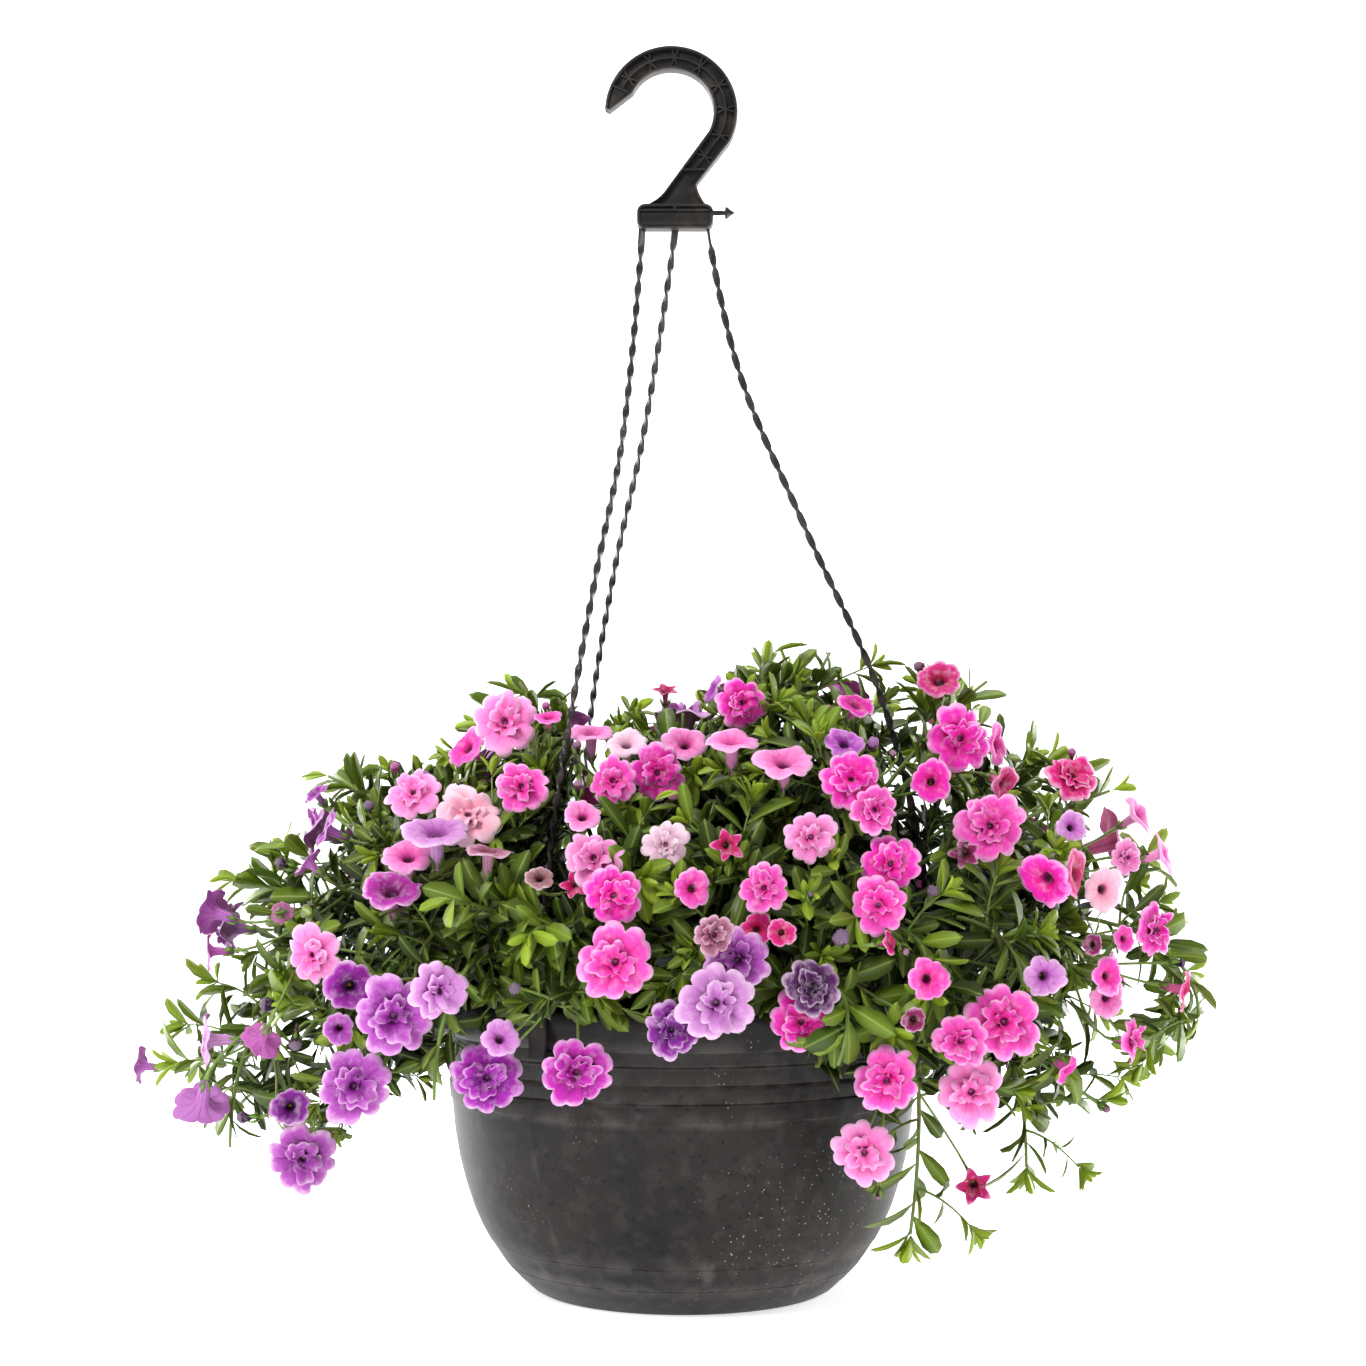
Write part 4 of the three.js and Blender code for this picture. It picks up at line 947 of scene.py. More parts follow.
# %% A whorl of petals
def add_whorl(skin, blooms, profile, outline, turn, size, lift, waves, sides=60, fade=3.0,
              uneven=1.0, aside=0.0, depth_of_tone=1.0):
    """Rings of points about each bloom's axis. A ring of radius r is drawn in by the outline where
    r is near its largest, and raised by waves of 2, 3, 5 and 8 to the turn that grow with r
    squared. A whorl can stand aside, wider and higher on one side by the cosine of the way round
    from there."""
    place, face, radius = gather(blooms, "place", "face", "radius")
    radius = radius[:, None, None] * size
    mark = place[:, 0] * 7.1 + place[:, 2] * 3.3 + size * 5
    u, w = axes(face)
    lean = draw(mark + 6)[:, None, None] * 2 * np.pi
    profile = np.array(profile)
    angle = np.arange(sides) / sides * 2 * np.pi
    petal = np.abs((angle / (2 * np.pi) * PETALS + 0.5) % 1 - 0.5)
    shape = np.interp(petal, np.linspace(0, 0.5, 7), outline)
    ring = profile[:, 0][None, :, None]
    height = profile[:, 1][None, :, None]
    grown = ring / max(profile[:, 0])
    odd = [draw(mark + k)[:, None, None] * 2 * np.pi for k in range(4)]
    even = 1 + uneven * (0.06 * np.sin(2 * angle + odd[0]) + 0.05 * np.sin(3 * angle + odd[1])
                         + 0.03 * np.sin(6 * angle + odd[2]))
    way = angle + turn
    one_side = np.cos(way - lean)
    out = ring * (1 + (shape * even - 1) * grown ** fade) * (1 + aside * one_side * grown)
    wave = (0.7 * np.sin(2 * angle + odd[0]) + 0.6 * np.sin(3 * angle + odd[1])
            + 0.5 * np.sin(5 * angle + odd[2]) + 0.4 * np.sin(8 * angle + odd[3]))
    fold = 0.5 * (np.cos(PETALS * angle) - 1)
    rise = height + lift + waves * grown ** 2 * (wave + fold) + aside * 0.7 * one_side * grown
    points = (place[:, None, None]
              + u[:, None, None] * (np.cos(way) * out * radius)[..., None]
              + w[:, None, None] * (np.sin(way) * out * radius)[..., None]
              + face[:, None, None] * (rise * radius)[..., None])
    count, rings = len(blooms), len(profile)
    first = place + face * ((profile[0, 1] + lift - 0.05) * radius[:, 0])
    last = place + face * ((profile[-1, 1] + lift - 0.05) * radius[:, 0])
    points = np.concatenate([points.reshape(count, -1, 3), np.stack([first, last], 1)], 1)
    widest = int(np.argmax(profile[:, 0]))
    behind = (np.arange(rings) > widest).astype(float)[None, :, None]
    share = ring if size == 1 else grown ** 1.4
    spots = spread((count, rings, sides), share, angle / (2 * np.pi) * PETALS, behind)
    spots = spots.reshape(count, -1, 3)
    spots = np.concatenate([spots, np.tile([[[0.0, 0, 0], [0.0, 0, 1]]], (count, 1, 1))], 1)
    tone = depth_of_tone * (1 + 0.22 * (draw(place[:, 0] * 1.9 + place[:, 2]) - 0.5))
    tint = np.array([COLOURS[bloom.colour] for bloom in blooms]) * tone[:, None]
    skin.add(points, ring_faces(rings, sides, count), spots, np.repeat(tint, spots.shape[1], 0), PETAL)


# %% Whole blooms with calyx and stalk
def add_blooms(skin, blooms):
    """All blooms of a shoot: the face and trumpet, the inner whorls, the calyx and the stalk."""
    for forms, profile, outline, *rest in WHORLS:
        some = [bloom for bloom in blooms if bloom.form in forms]
        if some:
            add_whorl(skin, some, profile, outline, *rest)
    if not blooms:
        return
    face, start = gather(blooms, "face", "start")
    foot = np.array([bloom.foot() for bloom in blooms])
    gap = norm(foot - start, axis=1, keepdims=True)
    knee = foot - face * gap * 0.3
    way = drawn(start[:, None], knee[:, None], (foot + face)[:, None], steps(7))
    radius = np.interp(np.linspace(0, 1, 7), [0, 0.8, 1], [0.75, 0.65, 1.25])[None, :]
    skin.add(*tubes(way, np.repeat(radius, len(blooms), 0), 5), None, STALK_GREEN, TWIG)
    u, w = axes(face)
    turn = (np.arange(5) / 5 * 2 * np.pi + 0.3)[:, None, None]
    out = (u * np.cos(turn) + w * np.sin(turn)).reshape(-1, 3)
    foot, face = np.tile(foot, (5, 1)), np.tile(face, (5, 1))
    base = foot + out * 0.9 - face * 0.4
    reach = np.tile([max(7.0, bloom.radius * 0.6) for bloom in blooms], 5)
    tint = SEPAL_GREEN * (0.85 + 0.3 * draw(base[:, :1] * 3))
    add_leaves(skin, base, face * 0.92 + out * 0.42, out - face * 0.4, reach, 2.3, 0.12, 0.2, tint,
               0.5, slim=True)


# %% [markdown]
# ## Colours
#
# The blooms run from violet through pale pink to hot pink, and the leaves from deep to fresh green.
# Each colour is given as it looks, as red, green and blue from 0 to 255, and turned to linear
# light, which is what Blender's sockets expect.

# %% Colours as they look
def light(r, g, b):
    """The usual screen curve undone: c/12.92 when dark, else ((c + 0.055)/1.055)^2.4."""
    c = np.array([r, g, b]) / 255
    return np.where(c < 0.04045, c / 12.92, ((c + 0.055) / 1.055) ** 2.4)


COLOURS = {
    "lilac": light(180, 84, 184), "mist": light(206, 142, 206), "violet": light(126, 16, 140),
    "orchid": light(158, 28, 164), "plum": light(80, 12, 90), "fuchsia": light(180, 24, 164),
    "pale": light(238, 144, 204), "cream": light(240, 190, 206), "white": light(240, 208, 224),
    "pink": light(230, 78, 184), "hot": light(224, 34, 176), "magenta": light(206, 8, 126),
    "wine": light(140, 10, 90), "dusk": light(172, 104, 132), "brown": light(150, 108, 110),
    "shade": light(44, 18, 50),
}
STALK_GREEN, SEPAL_GREEN = light(112, 142, 58), light(98, 136, 44)
STEM_GREEN, STEM_RED = light(104, 132, 52), light(112, 76, 48)
# The dark old-leaf green stands for older leaves and also for painted shade on leaves deep in the mound.
SHADED_OLD_LEAF, LEAF_GREEN, YOUNG_LEAF = light(28, 44, 12), light(86, 114, 24), light(158, 184, 44)
print(len(COLOURS), "petal colours")

# %% [markdown]
# ## Filling the mound with leaves
#
# The foliage is dense at its face, and the leaves deep inside are painted darker as painted shade;
# blooms stand just proud of it. A particle system could scatter leaves over a surface, but these
# have to grow on twigs and leave the blooms free. So places for twig tips are spread evenly round
# the mound's heart and met near its face. Each twig leaves the stem that serves it with the least
# way, and carries leaves in a spiral with a rosette of young ones at its tip. Leaves that would
# stand in a bloom, in front of one, or in front of a strap are left out, and so are those below
# the mound's fringe.

# %% How low and how thick the foliage is
FRINGE = np.array([
    (-300, 128), (-276, 100), (-245, 76), (-222, 64), (-195, 52), (-170, 68), (-154, 88), (-126, 92),
    (-112, 112), (-83, 130), (-42, 124), (0, 124), (40, 124), (60, 114), (78, 96), (110, 100),
    (140, 92), (160, 84), (187, 80), (217, 86), (242, 98), (264, 128), (300, 150),
])
TWIG_COUNT, TWIG_LEAVES, ROSETTE = 760, 8, 6
INNER_COUNT, INNER_LEAVES = 900, 11
FACE_LIMIT = 1.10
FINE_STEPS, BARE_STEPS = 25, 6
LONGEST_TWIG, SHORTEST_TWIG = 95, 8


# %% Spots in the mound
def seen(p):
    """Places across and up where lines of sight through points meet the axis plane."""
    nearer = -EYE[1] / (p[..., 1] - EYE[1])
    return np.stack([p[..., 0] * nearer, EYE[2] + (p[..., 2] - EYE[2]) * nearer], -1)


def spread_spots(count, near_level, far_level):
    """Points between two levels of the mound: directions on a golden spiral, met by halving."""
    k = np.arange(count)
    z = 1 - 2 * (k + 0.5) / count
    flat = np.sqrt(1 - z * z)
    aim = np.stack([np.cos(k * GOLDEN) * flat, np.sin(k * GOLDEN) * flat, z], -1)
    level = lerp(near_level, far_level, draw(k * 1.7 + 3))
    near_end, far_end = np.full(count, 20.0), np.full(count, 330.0)
    for _ in range(14):
        middle = (near_end + far_end) / 2
        inside = mound(vec(0, 0, MOUND_HEART) + aim * middle[:, None]) < level
        near_end, far_end = np.where(inside, middle, near_end), np.where(inside, far_end, middle)
    return vec(0, 0, MOUND_HEART) + aim * near_end[:, None], aim


def near_pot(p, margin):
    """True where a point lies in the pot, its soil or closer to them than a margin."""
    out = np.hypot(p[..., 0], p[..., 1])
    wall = np.interp(p[..., 2], POT_SIDE[:, 1], POT_SIDE[:, 0]) + margin
    return ((p[..., 2] < RIM_HEIGHT + margin) & (out < wall) & ((out > 114) | (p[..., 2] < SOIL_TOP))) \
        | ((p[..., 2] < SOIL_TOP + SOIL_CROWN + margin) & (out < 118))


# %% What the leaves keep clear of
all_blooms = [bloom for shoot in shoots for bloom in shoot.blooms]
bloom_at, bloom_wide = gather(all_blooms, "place", "radius")
bloom_seen = seen(bloom_at)
bloom_cover = bloom_wide * (0.52 + 0.32 * draw(bloom_at[:, 0] * 3.7 + bloom_at[:, 2]))
bloom_beads = [bloom.beads(bloom.place) for bloom in all_blooms]
bead_at = np.vstack([at for at, size in bloom_beads])
bead_size = np.concatenate([size for at, size in bloom_beads])
strap_at = np.vstack([rounded(strap_line(*strap), np.linspace(0, 1, 160)) for strap in STRAPS])
strap_at = strap_at[strap_at[:, 2] > 205]
strap_seen = seen(strap_at)
print(f"leaves keep clear of {len(all_blooms)} blooms")


def clear_of_blooms(p, size, beside=7.5):
    """True where a point is outside every bloom, the pot and the soil, and isn't in front of the
    middle of a bloom or of a strap."""
    good = np.ones(len(p), bool)
    place = seen(p)
    for at in range(0, len(p), 2000):
        part = slice(at, at + 2000)
        gap = norm(p[part, None] - bead_at[None], axis=2)
        good[part] &= (gap > bead_size * 0.9 + size).all(1)
        apart = norm(place[part, None] - bloom_seen[None], axis=2)
        ahead = p[part, None, 1] < bloom_at[None, :, 1] + 4
        good[part] &= ~((apart < bloom_cover) & ahead & (bloom_at[:, 1] < 20)).any(1)
        apart = norm(place[part, None] - strap_seen[None], axis=2)
        ahead = p[part, None, 1] < strap_at[None, :, 1] + 2
        good[part] &= ~((apart < beside) & ahead).any(1)
    return good & ~near_pot(p, size)


def above_fringe(p, margin=0.0):
    """True where a point is seen above the mound's lower fringe."""
    place = seen(p)
    return place[..., 1] > np.interp(place[..., 0], FRINGE[:, 0], FRINGE[:, 1]) + margin


# %% Rows of leaves
def golden_round(tangents, seed):
    """Directions square to each tangent, each turned on from the last by the golden angle."""
    u, w = axes(tangents)
    angle = (np.arange(len(tangents)) * GOLDEN + seed)[:, None]
    return u * np.cos(angle) + w * np.sin(angle)


class Foliage:
    """Leaves of all shoots, gathered as rows before the clear ones are built."""

    def __init__(self):
        self.rows = {key: [] for key in ("shoot", "base", "along", "over", "length", "width", "arch",
                                         "fold", "young", "always", "slim")}

    def add(self, **values):
        """Adds rows: arrays or single values for each key."""
        count = len(values["base"])
        for key, rows in self.rows.items():
            value = np.asarray(values[key])
            rows.append(np.broadcast_to(value, (count, *value.shape[1:])))

    def spiral(self, shoot, path, count, start, size, young, seed, always=False, slim=False):
        """Leaves in a spiral along a path (k, 3), from a share of it to its end, leaning further
        towards the tip's direction as they near it."""
        walk = start + (1 - start) * (np.arange(count) + 0.6) / count
        at = walk * (len(path) - 1)
        whole = np.minimum(at.astype(int), len(path) - 2)
        base = lerp(path[whole], path[whole + 1], (at - whole)[:, None])
        tangent = unit(path[whole + 1] - path[whole])
        mark = seed * 13.7 + np.arange(count)
        out = golden_round(tangent, seed)
        grow = np.linspace(0, 1, count)
        tilt = lerp(0.45, 1.35, grow ** 1.5) + 0.3 * (draw(mark) - 0.5)
        scale = size * (0.56 + 0.56 * draw(mark + 31))
        along = out + tangent * tilt[:, None] + vec(0, 0, 0.12)
        outward = unit(base - vec(0, 0, MOUND_HEART))
        slender = 0.30 + 0.10 * draw(mark + 7)
        self.add(shoot=shoot, base=base, along=along, over=tangent * 0.5 + outward + vec(0, 0, 0.3),
                 length=scale * 25, width=scale * 25 * slender, arch=0.10 + 0.25 * draw(mark + 11),
                 fold=0.10 + 0.5 * draw(mark + 17) * (0.4 + young), young=young * grow,
                 always=always, slim=slim)

    def rosette(self, shoot, tip, tangent, size, seed, always=False):
        """Young leaves round a tip, in two turns, the inner ones smaller and steeper."""
        out = golden_round(np.broadcast_to(tangent, (ROSETTE, 3)), seed)
        inner = np.arange(ROSETTE) / (ROSETTE - 1)
        along = out * lerp(1.0, 0.45, inner)[:, None] + tangent * lerp(0.8, 1.3, inner)[:, None]
        self.add(shoot=shoot, base=tip + tangent * (inner * 2.5)[:, None] - along * 0.2, along=along,
                 over=np.broadcast_to(tangent, along.shape), length=size * lerp(17, 9, inner),
                 width=size * lerp(6.0, 3.0, inner), arch=0.15, fold=0.5, young=0.75 + 0.25 * inner,
                 always=always, slim=False)


# %% Stems, and twigs that leave them
def shown_share(shoot):
    """How far a leafy shoot is followed: to where it leaves the mound, unless it trails."""
    t = np.linspace(0.6, 1, 41)
    outside = mound(bezier(shoot.corners, t)) > 1.0
    cut = outside.any() and not shoot.blooms and "trailing" not in shoot.node
    return t[outside.argmax()] if cut else 1.0


foliage = Foliage()
fine = [evenly(lambda t: bezier(shoot.corners, t * shown_share(shoot)), FINE_STEPS) for shoot in shoots]
stem_at = np.vstack([line[BARE_STEPS:] for line in fine])
stem_of = np.repeat(np.arange(len(fine)), FINE_STEPS - BARE_STEPS)
stem_level = mound(stem_at)

face_spots, face_aims = spread_spots(TWIG_COUNT, 0.55, 0.95)
inner_spots, inner_aims = spread_spots(INNER_COUNT, 0.12, 0.60)
spots, aims = np.vstack([face_spots, inner_spots]), np.vstack([face_aims, inner_aims])
outer = np.arange(len(spots)) < TWIG_COUNT
keep = above_fringe(spots, 6) & ~near_pot(spots, 5) & (spots[:, 2] > 70) & clear_of_blooms(spots, 1.0)
spots, aims, outer = spots[keep], aims[keep], outer[keep]
cost = norm(spots[:, None] - stem_at[None], axis=2)
cost += 80 * np.maximum(0, stem_level[None] - mound(spots)[:, None] + 0.12)
best = cost.argmin(1)
reach = norm(spots - stem_at[best], axis=1)
keep = (reach < LONGEST_TWIG) & (reach > SHORTEST_TWIG)
spots, aims, outer, best, reach = spots[keep], aims[keep], outer[keep], best[keep], reach[keep]
start = stem_at[best]
knee = lerp(start, spots, 0.55) + (vec(0, 0, 1) - aims) * (0.10 * reach[:, None])
t = steps(7)
twigs = drawn(start[:, None], knee[:, None], spots[:, None], t)
in_the_way = ~clear_of_blooms(twigs.reshape(-1, 3), 0.3, 3.5).reshape(len(twigs), -1)
blocked = in_the_way[:, 1:].any(1)
twigs, twig_of, outer = twigs[~blocked], stem_of[best][~blocked], outer[~blocked]
print(f"{len(twigs)} of {TWIG_COUNT + INNER_COUNT} twigs are clear")

# %% Leaves on the twigs
for index, path in enumerate(twigs):
    length = norm(path[-1] - path[0])
    tangent = unit(path[-1] - path[-2])
    size = 0.85 + 0.3 * float(draw(index * 2.3))
    begin = max(0.1, 1 - 45 / length)
    if outer[index]:
        foliage.spiral(twig_of[index], path, TWIG_LEAVES, begin, size, 0.45, index)
        foliage.rosette(twig_of[index], path[-1], tangent, size, index)
    else:
        foliage.spiral(twig_of[index], path, INNER_LEAVES, begin, size * 1.1, 0.0, index, slim=True)


# %% Leaves on strands, stems and stalks
side_twigs, side_of = [], []
for index, shoot in enumerate(shoots):
    if "trailing" not in shoot.node:
        continue
    for k, at in enumerate((10, 13, 16, 19, 22)):
        root = fine[index][at]
        end = root + vec(-23 if k % 2 else 25, -5, -9 - 2 * k)
        path = lerp(root, end, t) + vec(0, 0, 12) * t * (1 - t)
        if near_pot(path[1:], 3).any():
            continue
        side_twigs.append(path)
        side_of.append(index)
        foliage.spiral(index, path, 5, 0.25, 0.8, 0.6, index + k, True)
        foliage.rosette(index, path[-1], unit(path[-1] - path[-2]), 0.9, index + k, True)
twigs, twig_of = np.concatenate([twigs, side_twigs]), np.concatenate([twig_of, side_of])
for index, shoot in enumerate(shoots):
    line = fine[index]
    trails = "trailing" in shoot.node
    foliage.spiral(index, line, 16 if shoot.blooms else 24, 0.42, 1.05, 0.4, index * 3.1, trails)
    foliage.rosette(index, line[-1], unit(line[-1] - line[-2]), 1.2, index, trails)
    for k, bloom in enumerate(shoot.blooms):
        way = np.array([bloom.start, lerp(bloom.start, bloom.foot(), 0.55)])
        if norm(way[1] - way[0]) > 9:
            foliage.spiral(index, way, 3, 0.3, 0.75, 0.5, index + k * 1.9)


# %% Leaves that stay, and their colours
leaves = {key: np.concatenate(rows) for key, rows in foliage.rows.items()}
leaves["along"] = unit(leaves["along"])
clear = np.ones(len(leaves["base"]), bool)
for share in (0.15, 0.35, 0.55, 0.75, 0.95):
    reached = leaves["base"] + leaves["along"] * (leaves["length"] * share)[:, None]
    clear &= clear_of_blooms(reached, 0.6)
    clear &= (above_fringe(reached) & (mound(reached) < FACE_LIMIT)) | leaves["always"]
leaves = {key: value[clear] for key, value in leaves.items()}
# Painted shade: leaves deep in the mound lean towards the dark old-leaf green, keep less young green and
# are darkened down to 0.3 of their tint.
depth = smooth(mound(leaves["base"]), 0.45, 0.95)[:, None]
mark = leaves["base"][:, :1] * 5.1 + leaves["base"][:, 2:] * 2.3
tone = draw(mark)
tint = lerp(SHADED_OLD_LEAF, LEAF_GREEN, np.clip(0.85 * tone * (0.4 + 0.6 * depth) + 0.2 * depth, 0, 1))
fresh = leaves["young"][:, None] * (0.6 + 0.6 * draw(mark + 8)) * (0.3 + 0.7 * depth)
tint = lerp(tint, YOUNG_LEAF, np.clip(fresh, 0, 1))
leaves["tint"] = tint * (0.3 + 0.7 * depth)
print(f"{len(tint)} of {len(clear)} leaves stay")

# %% [markdown]
# ## Finishes
#
# Every finish is a tree of shader nodes. Linking them one by one hides what they work out, so a
# `Paint` makes one material and a `Wire` is a value inside it, and sums and products written in
# Python make the maths nodes. Colours are laid over each other by mix nodes, each by its share.

# %% Values with arithmetic
class Wire:
    """An output of a node, with arithmetic that makes further nodes."""

    def __init__(self, paint, socket):
        self.paint, self.socket = paint, socket

    def __add__(self, other):
        return self.paint.maths("ADD", self, other)

    def __sub__(self, other):
        return self.paint.maths("SUBTRACT", self, other)

    def __rsub__(self, other):
        return self.paint.maths("SUBTRACT", other, self)

    def __mul__(self, other):
        return self.paint.maths("MULTIPLY", self, other)

    def __pow__(self, other):
        return self.paint.maths("POWER", self, other)

    def size(self):
        """The value without its sign."""
        return self.paint.maths("ABSOLUTE", self, 0)

    def step(self, start, end):
        """Rises smoothly from 0 at start to 1 at end, or falls when end is below start."""
        low, high = min(start, end), max(start, end)
        rise = self.paint.node("ShaderNodeMapRange", {"interpolation_type": "SMOOTHSTEP"}, "Result",
                               {"Value": self, "From Min": low, "From Max": high})
        return rise if end > start else 1 - rise


# %% One material
class Paint:
    """A material: its surface has constant sockets, and a few that are driven by wires."""

    def __init__(self, name, **constants):
        self.material = bpy.data.materials.new(name)
        self.material.use_nodes = True
        self.tree = self.material.node_tree
        self.surface = self.tree.nodes["Principled BSDF"]
        for socket, value in constants.items():
            self.surface.inputs[socket.replace("_", " ")].default_value = value

    def node(self, kind, settings, output, inputs):
        """Makes a node, applies its settings, feeds its inputs and hands back one output."""
        made = self.tree.nodes.new(kind)
        for key, value in settings.items():
            setattr(made, key, value)
        for key, value in inputs.items():
            if isinstance(value, Wire):
                self.tree.links.new(value.socket, made.inputs[key])
            else:
                made.inputs[key].default_value = value
        return Wire(self, made.outputs[output])

    def layers(self, colour, *layers):
        """A colour with others laid over it, each by its share."""
        for share, over in layers:
            colour = self.mix(share, colour, over)
        return colour

    def maths(self, operation, a, b):
        """One sum, product or other operation on two values."""
        return self.node("ShaderNodeMath", {"operation": operation}, 0, {0: a, 1: b})

    def mix(self, share, a, b, blend="MIX"):
        """A colour between a and b."""
        a, b = (colour if isinstance(colour, Wire) else (*colour, 1) for colour in (a, b))
        settings = {"data_type": "RGBA", "blend_type": blend}
        return self.node("ShaderNodeMix", settings, 2, {0: share, 6: a, 7: b})

    def place(self, stretch=(1, 1, 1)):
        """The point on the object, in metres, stretched along its axes."""
        here = self.node("ShaderNodeTexCoord", {}, "Object", {})
        return self.node("ShaderNodeVectorMath", {"operation": "MULTIPLY"}, 0, {0: here, 1: stretch})

    def noise(self, scale, detail=3.0, where=None):
        """Cloudy values round 0.5."""
        return self.node("ShaderNodeTexNoise", {}, 0, {"Vector": where or self.place(), "Scale": scale,
                                                       "Detail": detail, "Roughness": 0.55})

    def cells(self, scale):
        """Distance to scattered points, for grains and flecks."""
        sockets = {"Vector": self.place(), "Scale": scale}
        return self.node("ShaderNodeTexVoronoi", {}, "Distance", sockets)

    def spot(self):
        """The three numbers that each point of the surface carries."""
        spot = self.node("ShaderNodeAttribute", {"attribute_name": "spot"}, "Vector", {})
        parts = self.tree.nodes.new("ShaderNodeSeparateXYZ")
        self.tree.links.new(spot.socket, parts.inputs[0])
        return [Wire(self, parts.outputs[k]) for k in range(3)]

    def tint(self):
        """The colour that each point of the surface carries."""
        return self.node("ShaderNodeAttribute", {"attribute_name": "tint"}, "Color", {})

    def drive(self, socket, wire):
        """Feeds one of the surface's sockets."""
        self.tree.links.new(wire.socket, self.surface.inputs[socket])

    def bump(self, height, strength, distance):
        """Makes the surface look raised by a height from 0 to 1, over a distance in metres."""
        raised = self.node("ShaderNodeBump", {}, "Normal",
                           {"Height": height, "Strength": strength, "Distance": distance})
        self.drive("Normal", raised)


# %% [markdown]
# ### Petals
#
# The throat is deep and dark with a warm eye, the petals lighten to their edges, a dark vein runs
# along the middle of each lobe, and the backs are paler. A painted image would need a layout for
# every petal. Instead each point knows how far out it lies, in which lobe, and whether it is
# behind, and the pattern is worked out from these three numbers.

# %% Petals from throat to edge
petals = Paint("petals", Roughness=0.6, Specular_IOR_Level=0.3, Subsurface_Weight=0.08,
               Subsurface_Scale=0.002, Subsurface_Radius=(1.0, 0.4, 0.8))
out, lobe, behind = petals.spot()
own = petals.tint()
deep = petals.mix(1.0, own, own, "MULTIPLY")
middle_tone = petals.mix(0.55, own, deep)
face = petals.layers(middle_tone, (out.step(0.45, 0.90), own), (out.step(0.52, 0.22), deep))
ribs = petals.maths("COSINE", lobe * (4 * math.pi), 0.0) * 0.5 + 0.5
fine_veins = petals.maths("COSINE", lobe * (20 * math.pi), 0.0) * 0.5 + 0.5
mottle = petals.noise(260.0)
streaks = fine_veins * mottle.step(0.30, 0.62) * out.step(1.08, 0.4)
ribs = (ribs ** 9.0) * out.step(1.1, 0.3) * 0.85 + streaks * 0.42
face = petals.layers(
    face, (ribs, deep), (out.step(0.30, 0.14) * 0.85, (0.02, 0.0, 0.012)),
    (mottle.step(0.45, 0.75) * 0.24, (0.95, 0.66, 0.88)),
    (out.step(0.80, 1.0) * (mottle * 0.8 + 0.05), (0.95, 0.76, 0.90)),
    (out.step(0.09, 0.03) * (1 - behind), light(214, 170, 60)))
back = petals.layers(own, (0.22, (0.80, 0.58, 0.80)), (ribs * 0.6, deep))
petals.drive("Base Color", petals.mix(behind.step(0.2, 0.8), face, back))
petals.bump(petals.noise(420.0, 2.0), 0.25, 0.0006)
print("petals take", len(petals.tree.nodes), "nodes")

# %% [markdown]
# ### Leaves, stems and stalks
#
# A leaf has a pale rib along its middle, faint cloudy patches and a greyish lower side. Stems and
# stalks are green and turn reddish in stretches. The rib follows the leaf, so it is drawn from the
# way across that each point carries. The patches needn't follow anything, so they are noise.

# %% Leaves
leaf = Paint("leaves", Roughness=0.42, Specular_IOR_Level=0.36)
over, along, side = leaf.spot()
leaf.drive("Base Color", leaf.layers(
    leaf.tint(), (leaf.noise(160.0).step(0.4, 0.85) * 0.14, light(92, 126, 30)),
    (over.size().step(0.16, 0.02) * 0.38, light(160, 184, 80)),
    (side.step(-0.15, -0.6) * 0.35, light(130, 148, 96)),
    (along.step(0.22, 0.0) * 0.5, light(140, 160, 72))))
leaf.drive("Roughness", leaf.noise(90.0, 2.0) * 0.25 + 0.30)
leaf.bump(over.size().step(0.0, 0.22), 0.35, 0.0005)

# %% Stems and stalks
twig = Paint("stems", Roughness=0.5, Subsurface_Weight=0.05, Subsurface_Scale=0.002)
red = twig.noise(45.0, 2.0).step(0.48, 0.72)
twig.drive("Base Color", twig.mix(red * 0.6, twig.tint(), STEM_RED))
twig.bump(twig.noise(900.0, 2.0), 0.2, 0.0003)

# %% [markdown]
# ### Pot, soil and hanger
#
# The pot is dark recycled plastic with fine dark speckles, a satin sheen that varies in clouds,
# whitish dust in its grooves and a few pale flecks and scratches low on its side. Noise at several
# scales gives these, and the mesh tells the material where its grooves are. The soil is crumbs of
# peat with pale grit. The hanger is black plastic, painted lighter on its raised borders and ribs
# and darker on its low web, as painted highlight and painted shade.

# %% The pot's plastic
plastic = Paint("pot_plastic", Roughness=0.4, Specular_IOR_Level=0.2)
clouds = plastic.noise(14.0, 5.0)
specks = plastic.noise(300.0, 2.0).step(0.60, 0.68)
mottle = plastic.noise(120.0, 4.0).step(0.45, 0.72)
height, flecked, groove = plastic.spot()
worn = plastic.noise(70.0, 4.0)
grain = plastic.cells(330.0).step(0.17, 0.05)
dusty = plastic.noise(26.0).step(0.52, 0.70)
streak = plastic.noise(40.0, 3.0, plastic.place((1.0, 1.0, 0.12))).step(0.62, 0.74)
# Painted shade: from about 114 mm up, the rim band is darkened towards near black, as the shadow of the
# foliage over it.
plastic.drive("Base Color", plastic.layers(
    light(20, 19, 19), (clouds.step(0.3, 0.7), light(42, 38, 36)), (specks * 0.75, light(8, 8, 8)),
    (mottle * 0.30, light(74, 70, 68)), (height.step(0.78, 0.90) * 0.55, light(10, 9, 9)),
    (groove * worn.step(0.35, 0.65) * 0.30, light(120, 116, 114)),
    (grain * (dusty * 0.6 + flecked), light(190, 186, 184)),
    (streak * (flecked * 0.6 + 0.16), light(140, 134, 132))))
plastic.drive("Roughness", clouds * 0.3 + dusty * 0.12 + 0.26)
plastic.bump(plastic.noise(240.0), 0.16, 0.0005)
print("the pot's plastic takes", len(plastic.tree.nodes), "nodes")

